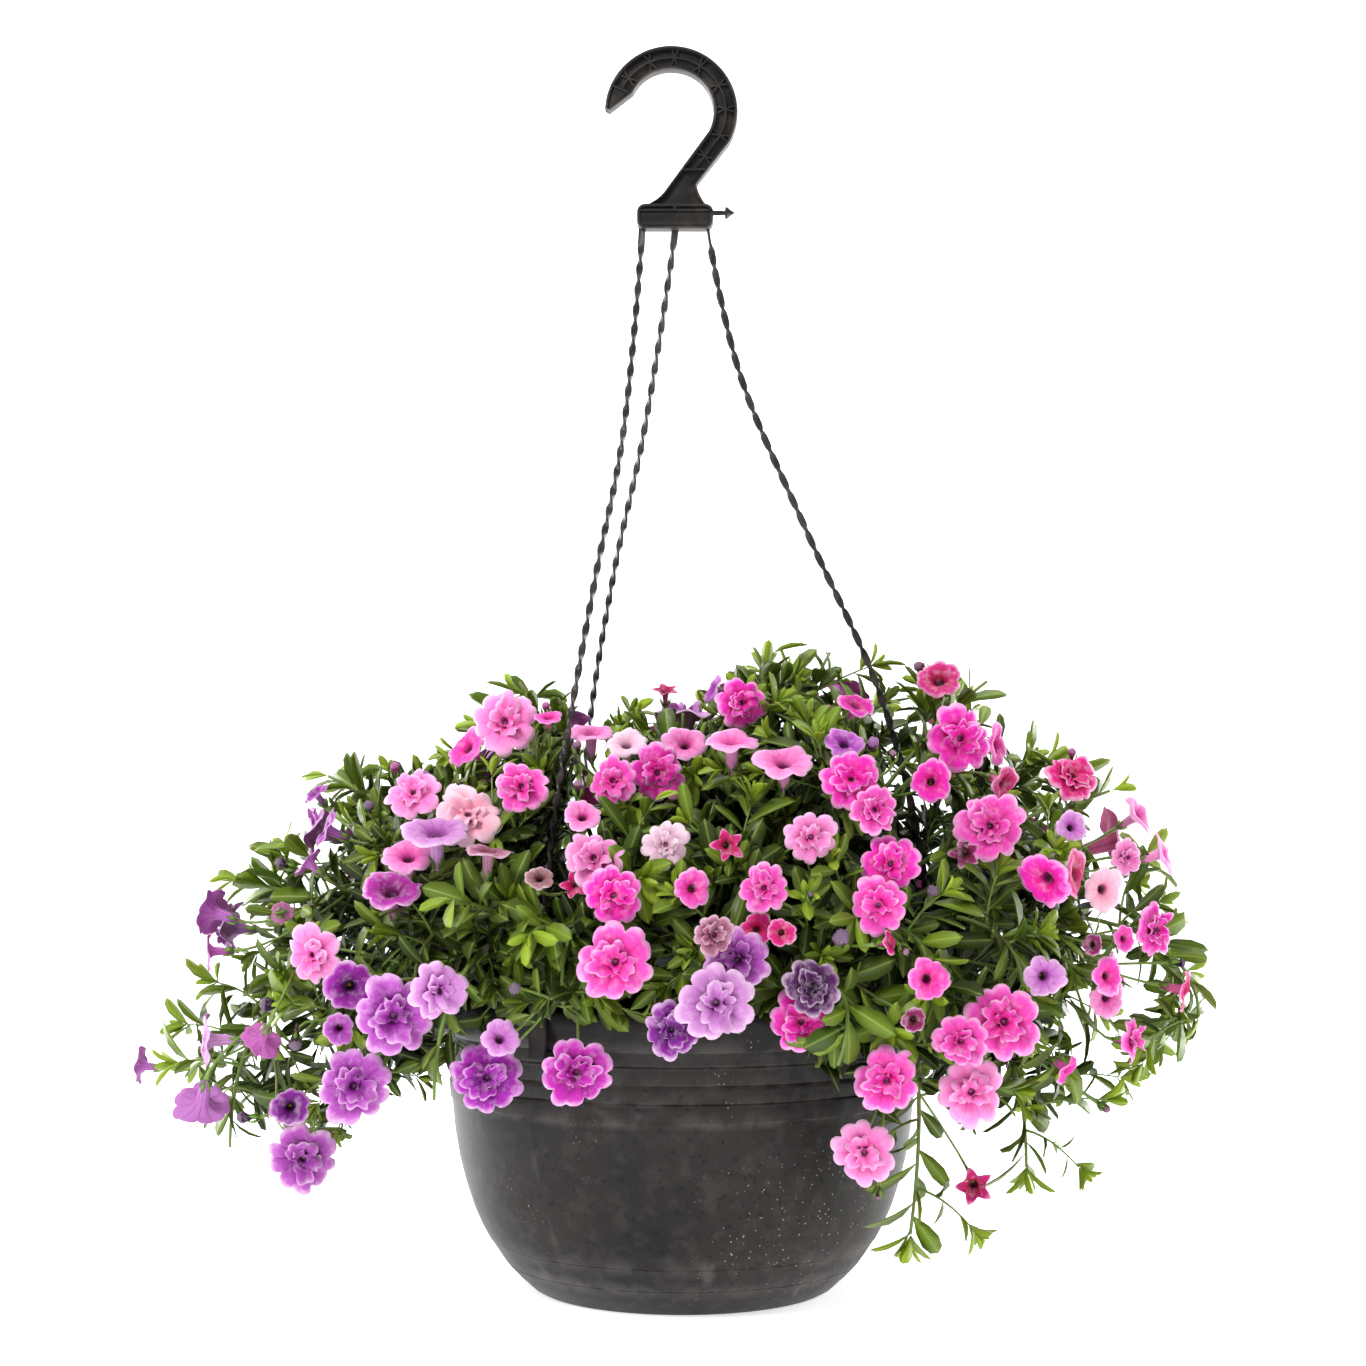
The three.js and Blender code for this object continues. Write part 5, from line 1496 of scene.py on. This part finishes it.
# %% The soil's crumbs
peat = Paint("soil", Roughness=0.95)
crumbs = peat.noise(180.0, 5.0)
earth = peat.mix(crumbs.step(0.35, 0.65), light(38, 27, 20), light(88, 64, 46))
grit = peat.cells(160.0).step(0.22, 0.12) * peat.noise(60.0, 2.0).step(0.55, 0.65)
peat.drive("Base Color", peat.mix(grit * 0.8, earth, light(190, 178, 160)))
peat.bump(crumbs, 0.8, 0.002)

# %% The hanger's plastic
black = Paint("hanger_plastic", Roughness=0.42, Specular_IOR_Level=0.4)
wear = black.noise(60.0, 4.0)
raised = black.spot()[2]
# Painted shade and highlight: low parts such as the web take the darker tone, raised borders and ribs
# the lighter one; the noise mottles both.
recess_shade_tone = black.mix(wear.step(0.45, 0.75), light(8, 7, 6), light(58, 48, 40))
raised_lit_tone = black.mix(wear.step(0.4, 0.75), light(34, 31, 30), light(66, 60, 57))
black.drive("Base Color", black.mix(raised, recess_shade_tone, raised_lit_tone))
black.drive("Roughness", wear * 0.3 + 0.28)
black.bump(black.noise(500.0, 2.0), 0.1, 0.0003)

# %% [markdown]
# ## The pot
#
# The pot is moulded in one piece, a bowl with a foot, fine grooves and a rim band. A Screw modifier
# could turn its outline, but rings worked out with numpy can carry the grooves' places for the
# dust. The wall is one profile turned round the axis: out over the foot, up the side with its
# grooves, ledge, ribs and rim band, over the lip and down the inside. The flat base and the floor
# are plates with five drain holes, joined by the holes' walls.

# %% The wall's profile and its grooves
OUTER = [
    (70.5, 0.2), (73, 0.0), (76, 1.6), (83, 8), (88.2, 13.4), (88.3, 13.9), (89.0, 14.4), (92.5, 19.5),
    (96.2, 24.9), (96.2, 25.5), (97.2, 26.1), (101, 33), (105, 42), (108.9, 54), (112, 66), (114.4, 80),
    (115.6, 92), (115.9, 95.4), (116.8, 96.2), (117.4, 102.6), (117.2, 104.0), (116.6, 104.8),
    (116.9, 105.6), (117.9, 108.6), (118.2, 111.4), (118.0, 112.4), (117.4, 113.2), (117.6, 114),
    (118.0, 119.6), (118.3, 121.0), (118.0, 122.0), (118.4, 123), (118.8, 128.0), (119.2, 128.6),
    (120.6, 128.6), (121.2, 129.2), (123, 135), (124.6, 140), (125, 142), (125, 145.2), (124.6, 146),
]
INNER = [(122.2, 146), (121.6, 145.2), (120.4, 140), (116, 126), (112.5, 90), (107, 60), (101, 40),
         (88, 20), (74, 5), (70, 3)]
GROOVES = (14, 25.5, 95.6, 104.6, 113, 121.8, 128.8)
POT_SIDES, HOLE_SIDES, UNDERSIDE = 144, 20, 0.2


# %% Circles, turned walls and plates with holes
def circle(radius, count, middle=(0, 0)):
    """Points of a circle, anticlockwise from the right."""
    turn = np.arange(count) / count * 2 * np.pi
    return np.stack([middle[0] + radius * np.cos(turn), middle[1] + radius * np.sin(turn)], 1)


def turned(profile, sides):
    """Rings of a profile of radii and heights turned round the Z axis."""
    profile = np.asarray(profile, float)
    turn = np.arange(sides) / sides * 2 * np.pi
    ring = np.stack([np.cos(turn), np.sin(turn)], 1)
    return spread((len(profile), sides), *(profile[:, :1] * ring.T[:, None]), profile[:, 1:])


def plate_with_holes(rim, holes):
    """Triangles between a rim and round holes. The points keep their order: rim, then holes."""
    loops = [rim, *holes]
    points = [Vector(p) for loop in loops for p in loop]
    starts = np.cumsum([0, *[len(loop) for loop in loops]])
    faces = [list(range(a, b)) for a, b in zip(starts[:-1], starts[1:])]
    found = delaunay_2d_cdt(points, [], faces, 0, 1e-6)
    triangles = np.array([sources[0] for sources in found[3]])[np.array(found[2])]
    flat = np.array([tuple(p) for p in points])
    middle = flat[triangles].mean(1)
    for hole in holes:
        heart = hole.mean(0)
        keep = norm(middle - heart, axis=1) > norm(hole[0] - heart) * 0.98
        triangles, middle = triangles[keep], middle[keep]
    a, b, c = (flat[triangles[:, k]] for k in range(3))
    turn = (b[:, 0] - a[:, 0]) * (c[:, 1] - a[:, 1]) - (b[:, 1] - a[:, 1]) * (c[:, 0] - a[:, 0])
    return np.where((turn > 0)[:, None], triangles, triangles[:, ::-1])


# %% The pot as one closed surface
pot = Skin()
profile = OUTER + INNER
rings = turned(profile, POT_SIDES)
count = len(profile)
wall_faces, = ring_faces(count, POT_SIDES, poles=False)
holes = [circle(4, HOLE_SIDES, middle) for middle in DRAINS]
edges = np.vstack(holes)
points = np.vstack([rings.reshape(-1, 3), *(np.column_stack([edges, np.full(len(edges), z)])
                                            for z in (UNDERSIDE, FLOOR))])
under, above = count * POT_SIDES, count * POT_SIDES + len(edges)
base = plate_with_holes(rings[0, :, :2], holes)
base = np.where(base < POT_SIDES, base, base - POT_SIDES + under)[:, ::-1]
ground = plate_with_holes(rings[-1, :, :2], holes)
ground = np.where(ground < POT_SIDES, ground + (count - 1) * POT_SIDES, ground - POT_SIDES + above)
p = np.arange(len(edges))
q = p - p % HOLE_SIDES + (p + 1) % HOLE_SIDES
hole_walls = np.stack([under + q, under + p, above + p, above + q], 1)
line = np.array([z for r, z in profile])
grooves = sum(np.exp(-((line - at) / 0.9) ** 2) for at in GROOVES)
spots = np.zeros((len(points), 3))
# The first number is the height share, which the plastic uses for painted shade on the rim band.
spots[:, 0] = points[:, 2] / RIM_HEIGHT
right_front = np.exp(-((np.arctan2(points[:, 1], points[:, 0]) + 0.95) / 0.40) ** 2)
spots[:, 1] = 0.9 * right_front * np.exp(-((points[:, 2] - 44) / 34) ** 2)
spots[:count * POT_SIDES, 2] = np.repeat(np.where(np.arange(count) < len(OUTER), grooves, 0), POT_SIDES)
pot.add(points, [wall_faces, hole_walls, base, ground], spots)
pot_piece = pot.mesh("moulded_pot", [plastic.material], 28)

# %% [markdown]
# ## The soil
#
# Potting soil fills the pot to just below the rim, crumbly on top and dipping where each stem comes
# up. Displacement could give the crumbs, but little of it shows, so a few sine waves raise the
# rings of the top, and the bump of the material does the rest.

# %% The soil as one closed surface
soil = Skin()
soil_profile = [(66, 3.4), (99, 40), (110.5, 90), (113.5, 124), (114.5, 134)]
soil_profile += [(r, SOIL_TOP + SOIL_CROWN * (1 - (r / 115) ** 2)) for r in np.linspace(113, 4, 34)]
rings = turned(soil_profile, 110)
top = rings[5:].reshape(-1, 3)
lumps = sum(a * np.sin(top[:, 0] * f + p) * np.sin(top[:, 1] * f * 1.1 + p * 2)
            for a, f, p in ((0.7, 0.11, 1.0), (0.5, 0.27, 2.0), (0.35, 0.63, 0.5)))
to_root = norm(top[:, None, :2] - np.array(ROOTS)[None, :, :2], axis=2).min(1)
top[:, 2] += lumps - 2.0 * np.exp(-(to_root / 3.5) ** 2)
rings[5:] = top.reshape(-1, 110, 3)
points = np.vstack([rings.reshape(-1, 3), [[0, 0, 3.4], [0, 0, rings[-1, :, 2].mean()]]])
soil.add(points, ring_faces(len(rings), 110))
soil_piece = soil.mesh("crumbly_soil", [peat.material])

# %% [markdown]
# ## The hanger
#
# The hook is moulded plastic: a thin web, a raised border along both edges, a rib along its middle
# and slanting ribs between them. The block under it has a raised border and a line across, and a
# pin stands out of its side. Each strap is a flat strip that is twisted and turns over every 11 mm.
# Apart from the pin, which is turned, all of these are bars on a path. So one function carries a
# section with cut corners along any of them, and a strap's twist is a section that turns on its
# way.

# %% Bars of the hanger
HOOK_HEART, HOOK_OUTER, HOOK_INNER, HOOK_TIP = np.array([-6, 594]), 34, 21.5, [[-37.2, 594.2]]
NECK, PAD = 16, 116
PIN_HIGH, PIN_SIDES = 542.5, 14
hanger = Skin()


def bar(path, across_way, up_way, wide, thick, corner=0.3, raised=0.7):
    """A bar of the hanger with cut corners on a path (k, 3): its section spans wide along one vector and
    thick along the other, at each point of the path. Raised bars are painted lighter as painted
    highlight, low ones darker as painted shade."""
    path = np.asarray(path, float)
    x = np.array([1, 1, 1 - corner, -1 + corner, -1, -1, -1 + corner, 1 - corner])
    y = np.array([-1 + corner, 1 - corner, 1, 1, 1 - corner, -1 + corner, -1, -1])
    wide, thick = (np.broadcast_to(v, len(path))[:, None, None] for v in (wide, thick))
    across_way = np.broadcast_to(across_way, path.shape)
    up_way = np.broadcast_to(up_way, path.shape)
    body = (path[:, None] + across_way[:, None] * (x[None, :, None] * wide / 2)
            + up_way[:, None] * (y[None, :, None] * thick / 2))
    points = np.vstack([body.reshape(-1, 3), path[:1], path[-1:]])
    faces = ring_faces(len(path), 8)
    way = path[1] - path[0]
    if np.dot(np.cross(across_way[0], up_way[0]), way) < 0:
        faces = [part[:, ::-1] for part in faces]
    hanger.add(points, faces, (0, 0, raised))


# %% The hook's two edges
def arc(radius, start, end, count):
    """An arc of the hook's bow, by its angles in degrees."""
    turn = np.radians(np.linspace(start, end, count))
    return HOOK_HEART + radius * np.stack([np.cos(turn), np.sin(turn)], 1)


def edge_line(flare, neck_end, radius, last, tip):
    """One edge of the hook: the flare's curve, the straight neck, the bow and the narrowing tip,
    with as many points in each as on the other edge."""
    bow = arc(radius, -28, last, 90)
    a, b, c = np.array([*flare, neck_end])
    neck = lerp(c, bow[0], np.linspace(0.1, 0.95, 14)[:, None])
    flat = np.vstack([drawn(a, b, c, steps(12)), neck, bow, tip])
    return np.stack([flat[:, 0], np.zeros(len(flat)), flat[:, 1]], 1)


depth_way = vec(0, 1, 0)
tip_inside = lerp(arc(HOOK_INNER, 154, 154, 1), HOOK_TIP, np.linspace(0.08, 1, 12)[:, None])
outside = edge_line(((13.5, 544.6), (8.5, 549)), (7.1, 556.3), HOOK_OUTER, 154,
                    arc(HOOK_OUTER, 156, 177, 12))
inside = edge_line(((-21.6, 544.6), (-13, 548)), (-9.7, 552.7), HOOK_INNER, 154, tip_inside)
middle = (outside + inside) / 2
wide_way = unit(outside - inside)
gap = norm(outside - inside, axis=1)

# %% The hook's web, borders and ribs
bar(middle, wide_way, depth_way, gap - 1.2, 3.4, 0.1, 0.0)
for edge in (outside - wide_way, inside + wide_way):
    bar(edge, wide_way, depth_way, 2.0, 9.0, 0.45, 1.0)
bar(middle[NECK:PAD], wide_way[NECK:PAD], depth_way, 1.1, 7.4, 0.3)
part = slice(PAD - 1, -1)
bar(middle[part], wide_way[part], depth_way, gap[part] - 3.4, 6.6, 0.2, 0.3)
fifths = steps(5)
for at in (NECK, PAD):
    cross_bar = lerp(inside[at] + wide_way[at], outside[at] - wide_way[at], fifths)
    bar(cross_bar, unit(middle[at + 1] - middle[at]), depth_way, 1.4, 8.4, 0.3)
walk = walked(middle)
for far in np.linspace(walk[NECK] + 8.5, walk[PAD] - 7.0, 8):
    at = int(np.argmin(np.abs(walk - far)))
    along_rib = unit(middle[at + 1] - middle[at - 1])
    across_rib = np.cross(along_rib, depth_way)
    for lean in (-1.9, 1.9):
        slant = middle[at] + (along_rib * lean + across_rib * 5.4) * (2 * fifths - 1)
        square = unit(np.cross(slant[-1] - slant[0], depth_way))
        bar(slant, square, depth_way, 0.9, 7.0, 0.3)


# %% The block and its pin
def box_bar(left, right, low, high, deep, raised):
    """A block with cut corners between its sides."""
    path = np.array([(x, 0, (low + high) / 2) for x in np.linspace(left, right, 4)])
    bar(path, vec(0, 1, 0), vec(0, 0, 1), deep, high - low, 0.15, raised)


box_bar(BLOCK_LEFT + 0.8, BLOCK_RIGHT - 0.8, BLOCK_LOW + 1.6, BLOCK_TOP - 1.6, 6.6, 0.1)
corners = []
for x, z, first in ((BLOCK_RIGHT - 4.2, BLOCK_TOP - 4.2, 0), (BLOCK_LEFT + 4.2, BLOCK_TOP - 4.2, 90),
                    (BLOCK_LEFT + 4.2, BLOCK_LOW + 4.2, 180), (BLOCK_RIGHT - 4.2, BLOCK_LOW + 4.2, 270)):
    swing = np.radians(np.linspace(first, first + 90, 6))
    corners.append(np.stack([x + 3.3 * np.cos(swing), 0 * swing, z + 3.3 * np.sin(swing)], 1))
border = np.vstack([*corners, corners[0][:2]])
border_way = unit(np.gradient(border, axis=0))
bar(border, np.cross(border_way, depth_way), depth_way, 1.8, BLOCK_DEEP, 0.4, 1.0)
box_bar(BLOCK_LEFT + 1.5, BLOCK_RIGHT - 1.5, 542.6, 543.6, 8.6, 1.0)
box_bar(-4.9, -3.5, 543.0, 545.6, 9.0, 1.0)
pin = np.array([(12.0, 1.3), (15.5, 1.3), (19.6, 1.25), (21.3, 1.1), (21.6, 3.1), (22.4, 3.2),
                (24.2, 1.6), (26.0, 0.5)])
rings = turned(pin[:, ::-1], PIN_SIDES)[..., [2, 0, 1]] + vec(0, 0, PIN_HIGH)
ends = [[12, 0, PIN_HIGH], [26.4, 0, PIN_HIGH]]
hanger.add(np.vstack([rings.reshape(-1, 3), ends]), ring_faces(len(pin), PIN_SIDES))

# %% The straps and their clips
for strap in STRAPS:
    corners = strap_line(*strap)
    length = walked(rounded(corners, np.linspace(0, 1, 200)))[-1]
    count = int(length / 1.8)
    path = evenly(lambda t: rounded(corners, t), count)
    tangent = unit(np.gradient(path, axis=0))
    sideways = unit(np.cross(path[-1] - path[0], vec(0, 0, 1)))
    lift = np.cross(tangent, sideways)
    far = np.linspace(0, length, count)
    turns = np.round((length - 24) / 10.9)
    twist = -np.pi * turns * np.clip((far - 12) / (length - 24), 0, 1)
    twist = (twist + 0.22 * np.sin(2 * twist))[:, None]
    wide_now = sideways * np.cos(twist) + lift * np.sin(twist)
    thin_now = lift * np.cos(twist) - sideways * np.sin(twist)
    bar(path, wide_now, thin_now, STRAP_WIDE, STRAP_THICK, 0.35)
    radial = rim_point(strap[1], 1, 0)
    beside = vec(-radial[1], radial[0], 0)
    rise = np.linspace(CLIP_FOOT, CLIP_TOP, 5)
    plate = radial[None] * 126.7 + vec(0, 0, 1) * rise[:, None]
    bar(plate, beside, radial, CLIP_WIDE, 2.2, 0.3)
    claw = radial[None] * np.linspace(119.4, 126.5, 4)[:, None] + vec(0, 0, 126.5)
    bar(claw, beside, vec(0, 0, 1), CLIP_WIDE, 3.4, 0.3)
hanger_piece = hanger.mesh("hook_and_straps", [black.material], 35)

# %% [markdown]
# ## The shoots
#
# One piece stands for each shoot: the stem, its twigs, its leaves and its blooms with their stalks.
# That is how the solids are divided, so each piece can take the place of one of them. The smallest
# buds, which the solids don't have, come last and give way to what is there.

# %% A piece for each shoot
LEAF_KEYS = ("base", "along", "over", "length", "width", "arch", "fold", "tint", "young")
shoot_pieces = []
for index, shoot in enumerate(shoots):
    skin = Skin()
    line = np.vstack([shoot.points[:1], fine[index]])
    taper = np.interp(np.linspace(0, 1, len(line)), [0, 0.6, 1], [STEM, STEM * 0.95, STEM * 0.6])
    skin.add(*tubes(line[None], taper[None], 7), None, STEM_GREEN, TWIG)
    mine = twigs[twig_of == index]
    if len(mine):
        taper = np.linspace(0.75, 0.4, mine.shape[1])
        skin.add(*tubes(mine, taper[None], 5), None, STALK_GREEN, TWIG)
    for slim in (False, True):
        own = (leaves["shoot"] == index) & (leaves["slim"] == slim)
        if own.any():
            add_leaves(skin, *(leaves[key][own] for key in LEAF_KEYS), slim=slim)
    for k, bloom in enumerate(small_buds.get(shoot.node, [])):
        bloom.name = f"{shoot.node} small {k}"
        bloom.settle(bloom.aim)
        near_stem = norm(fine[index] - bloom.foot(), axis=1)
        bloom.start = fine[index][near_stem[8:].argmin() + 8]
    add_blooms(skin, shoot.blooms + small_buds.get(shoot.node, []))
    piece = skin.mesh(shoot.node + "_grown", [petals.material, leaf.material, twig.material])
    shoot_pieces.append((piece, shoot))

# %% [markdown]
# ## Placing the pieces in the frame
#
# The basket is one rigid body, so every piece rides on the root, stands for the solid whose shape it
# repeats, and takes the slot of its finish.

# %% Each piece rides and replaces its solid
for piece, node, slot in [(pot_piece, "pot", "pot_plastic"), (soil_piece, "soil", "potting_soil"),
                          (hanger_piece, "hanger", "hanger_plastic")] \
        + [(piece, shoot.node, shoot.slot) for piece, shoot in shoot_pieces]:
    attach(piece, "root")
    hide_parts(node)

# %% [markdown]
# ## Floor, backdrop and light
#
# The basket stands on white with a faint shadow under the pot. A curved sheet, the sweep, hides the
# line between floor and wall. One lamp alone would leave the leaves at the edges dark, so a key and
# a fill stand in front, two lamps light the edges from behind, one stands above, one lights the
# wall, and the world gives the rest.

# %% The sweep
sweep = bpy.data.meshes.new("sweep")
line = [(-3.0, 0.0), (1.6, 0.0), (2.1, 0.06), (2.5, 0.25), (2.7, 0.6), (2.75, 1.2), (2.75, 3.5)]
sweep.from_pydata([(x, y, z) for y, z in line for x in (-5, 5)], [],
                  [(2 * n, 2 * n + 1, 2 * n + 3, 2 * n + 2) for n in range(len(line) - 1)])
sweep.polygons.foreach_set("use_smooth", [True] * len(sweep.polygons))
white = Paint("white_sweep", Base_Color=(0.95, 0.95, 0.95, 1), Roughness=0.9,
              Emission_Color=(1, 1, 1, 1), Emission_Strength=0.62)
sweep.materials.append(white.material)
backdrop = bpy.data.objects.new("sweep", sweep)
bpy.context.collection.objects.link(backdrop)

# %% Light from all round, and the lamps
world = bpy.data.worlds.new("studio")
world.use_nodes = True
world.node_tree.nodes["Background"].inputs["Color"].default_value = (1, 1, 1, 1)
world.node_tree.nodes["Background"].inputs["Strength"].default_value = 0.34
bpy.context.scene.world = world


def lamp(name, place, aim, size, power):
    """A square soft light in watts, in metres, turned to face its aim."""
    data = bpy.data.lights.new(name, "AREA")
    data.size, data.energy = size, power
    thing = bpy.data.objects.new(name, data)
    thing.location = place
    thing.rotation_euler = (Vector(aim) - Vector(place)).to_track_quat("-Z", "Y").to_euler()
    bpy.context.collection.objects.link(thing)


lamp("key", (-1.0, -1.4, 1.7), (0, 0, 0.2), 0.6, 35)
lamp("fill", (1.7, -1.0, 1.1), (0, 0, 0.2), 1.0, 6)
lamp("left_edge", (-1.3, 0.95, 0.3), (0, 0, 0.12), 0.9, 26)
lamp("right_edge", (1.3, 0.95, 0.3), (0, 0, 0.12), 0.9, 26)
lamp("top", (0.0, 0.3, 1.9), (0, 0, 0.2), 0.9, 11)
lamp("wall", (0.0, 0.9, 2.4), (0, 2.7, 0.8), 2.0, 30)
bpy.context.scene.view_settings.view_transform = "Standard"
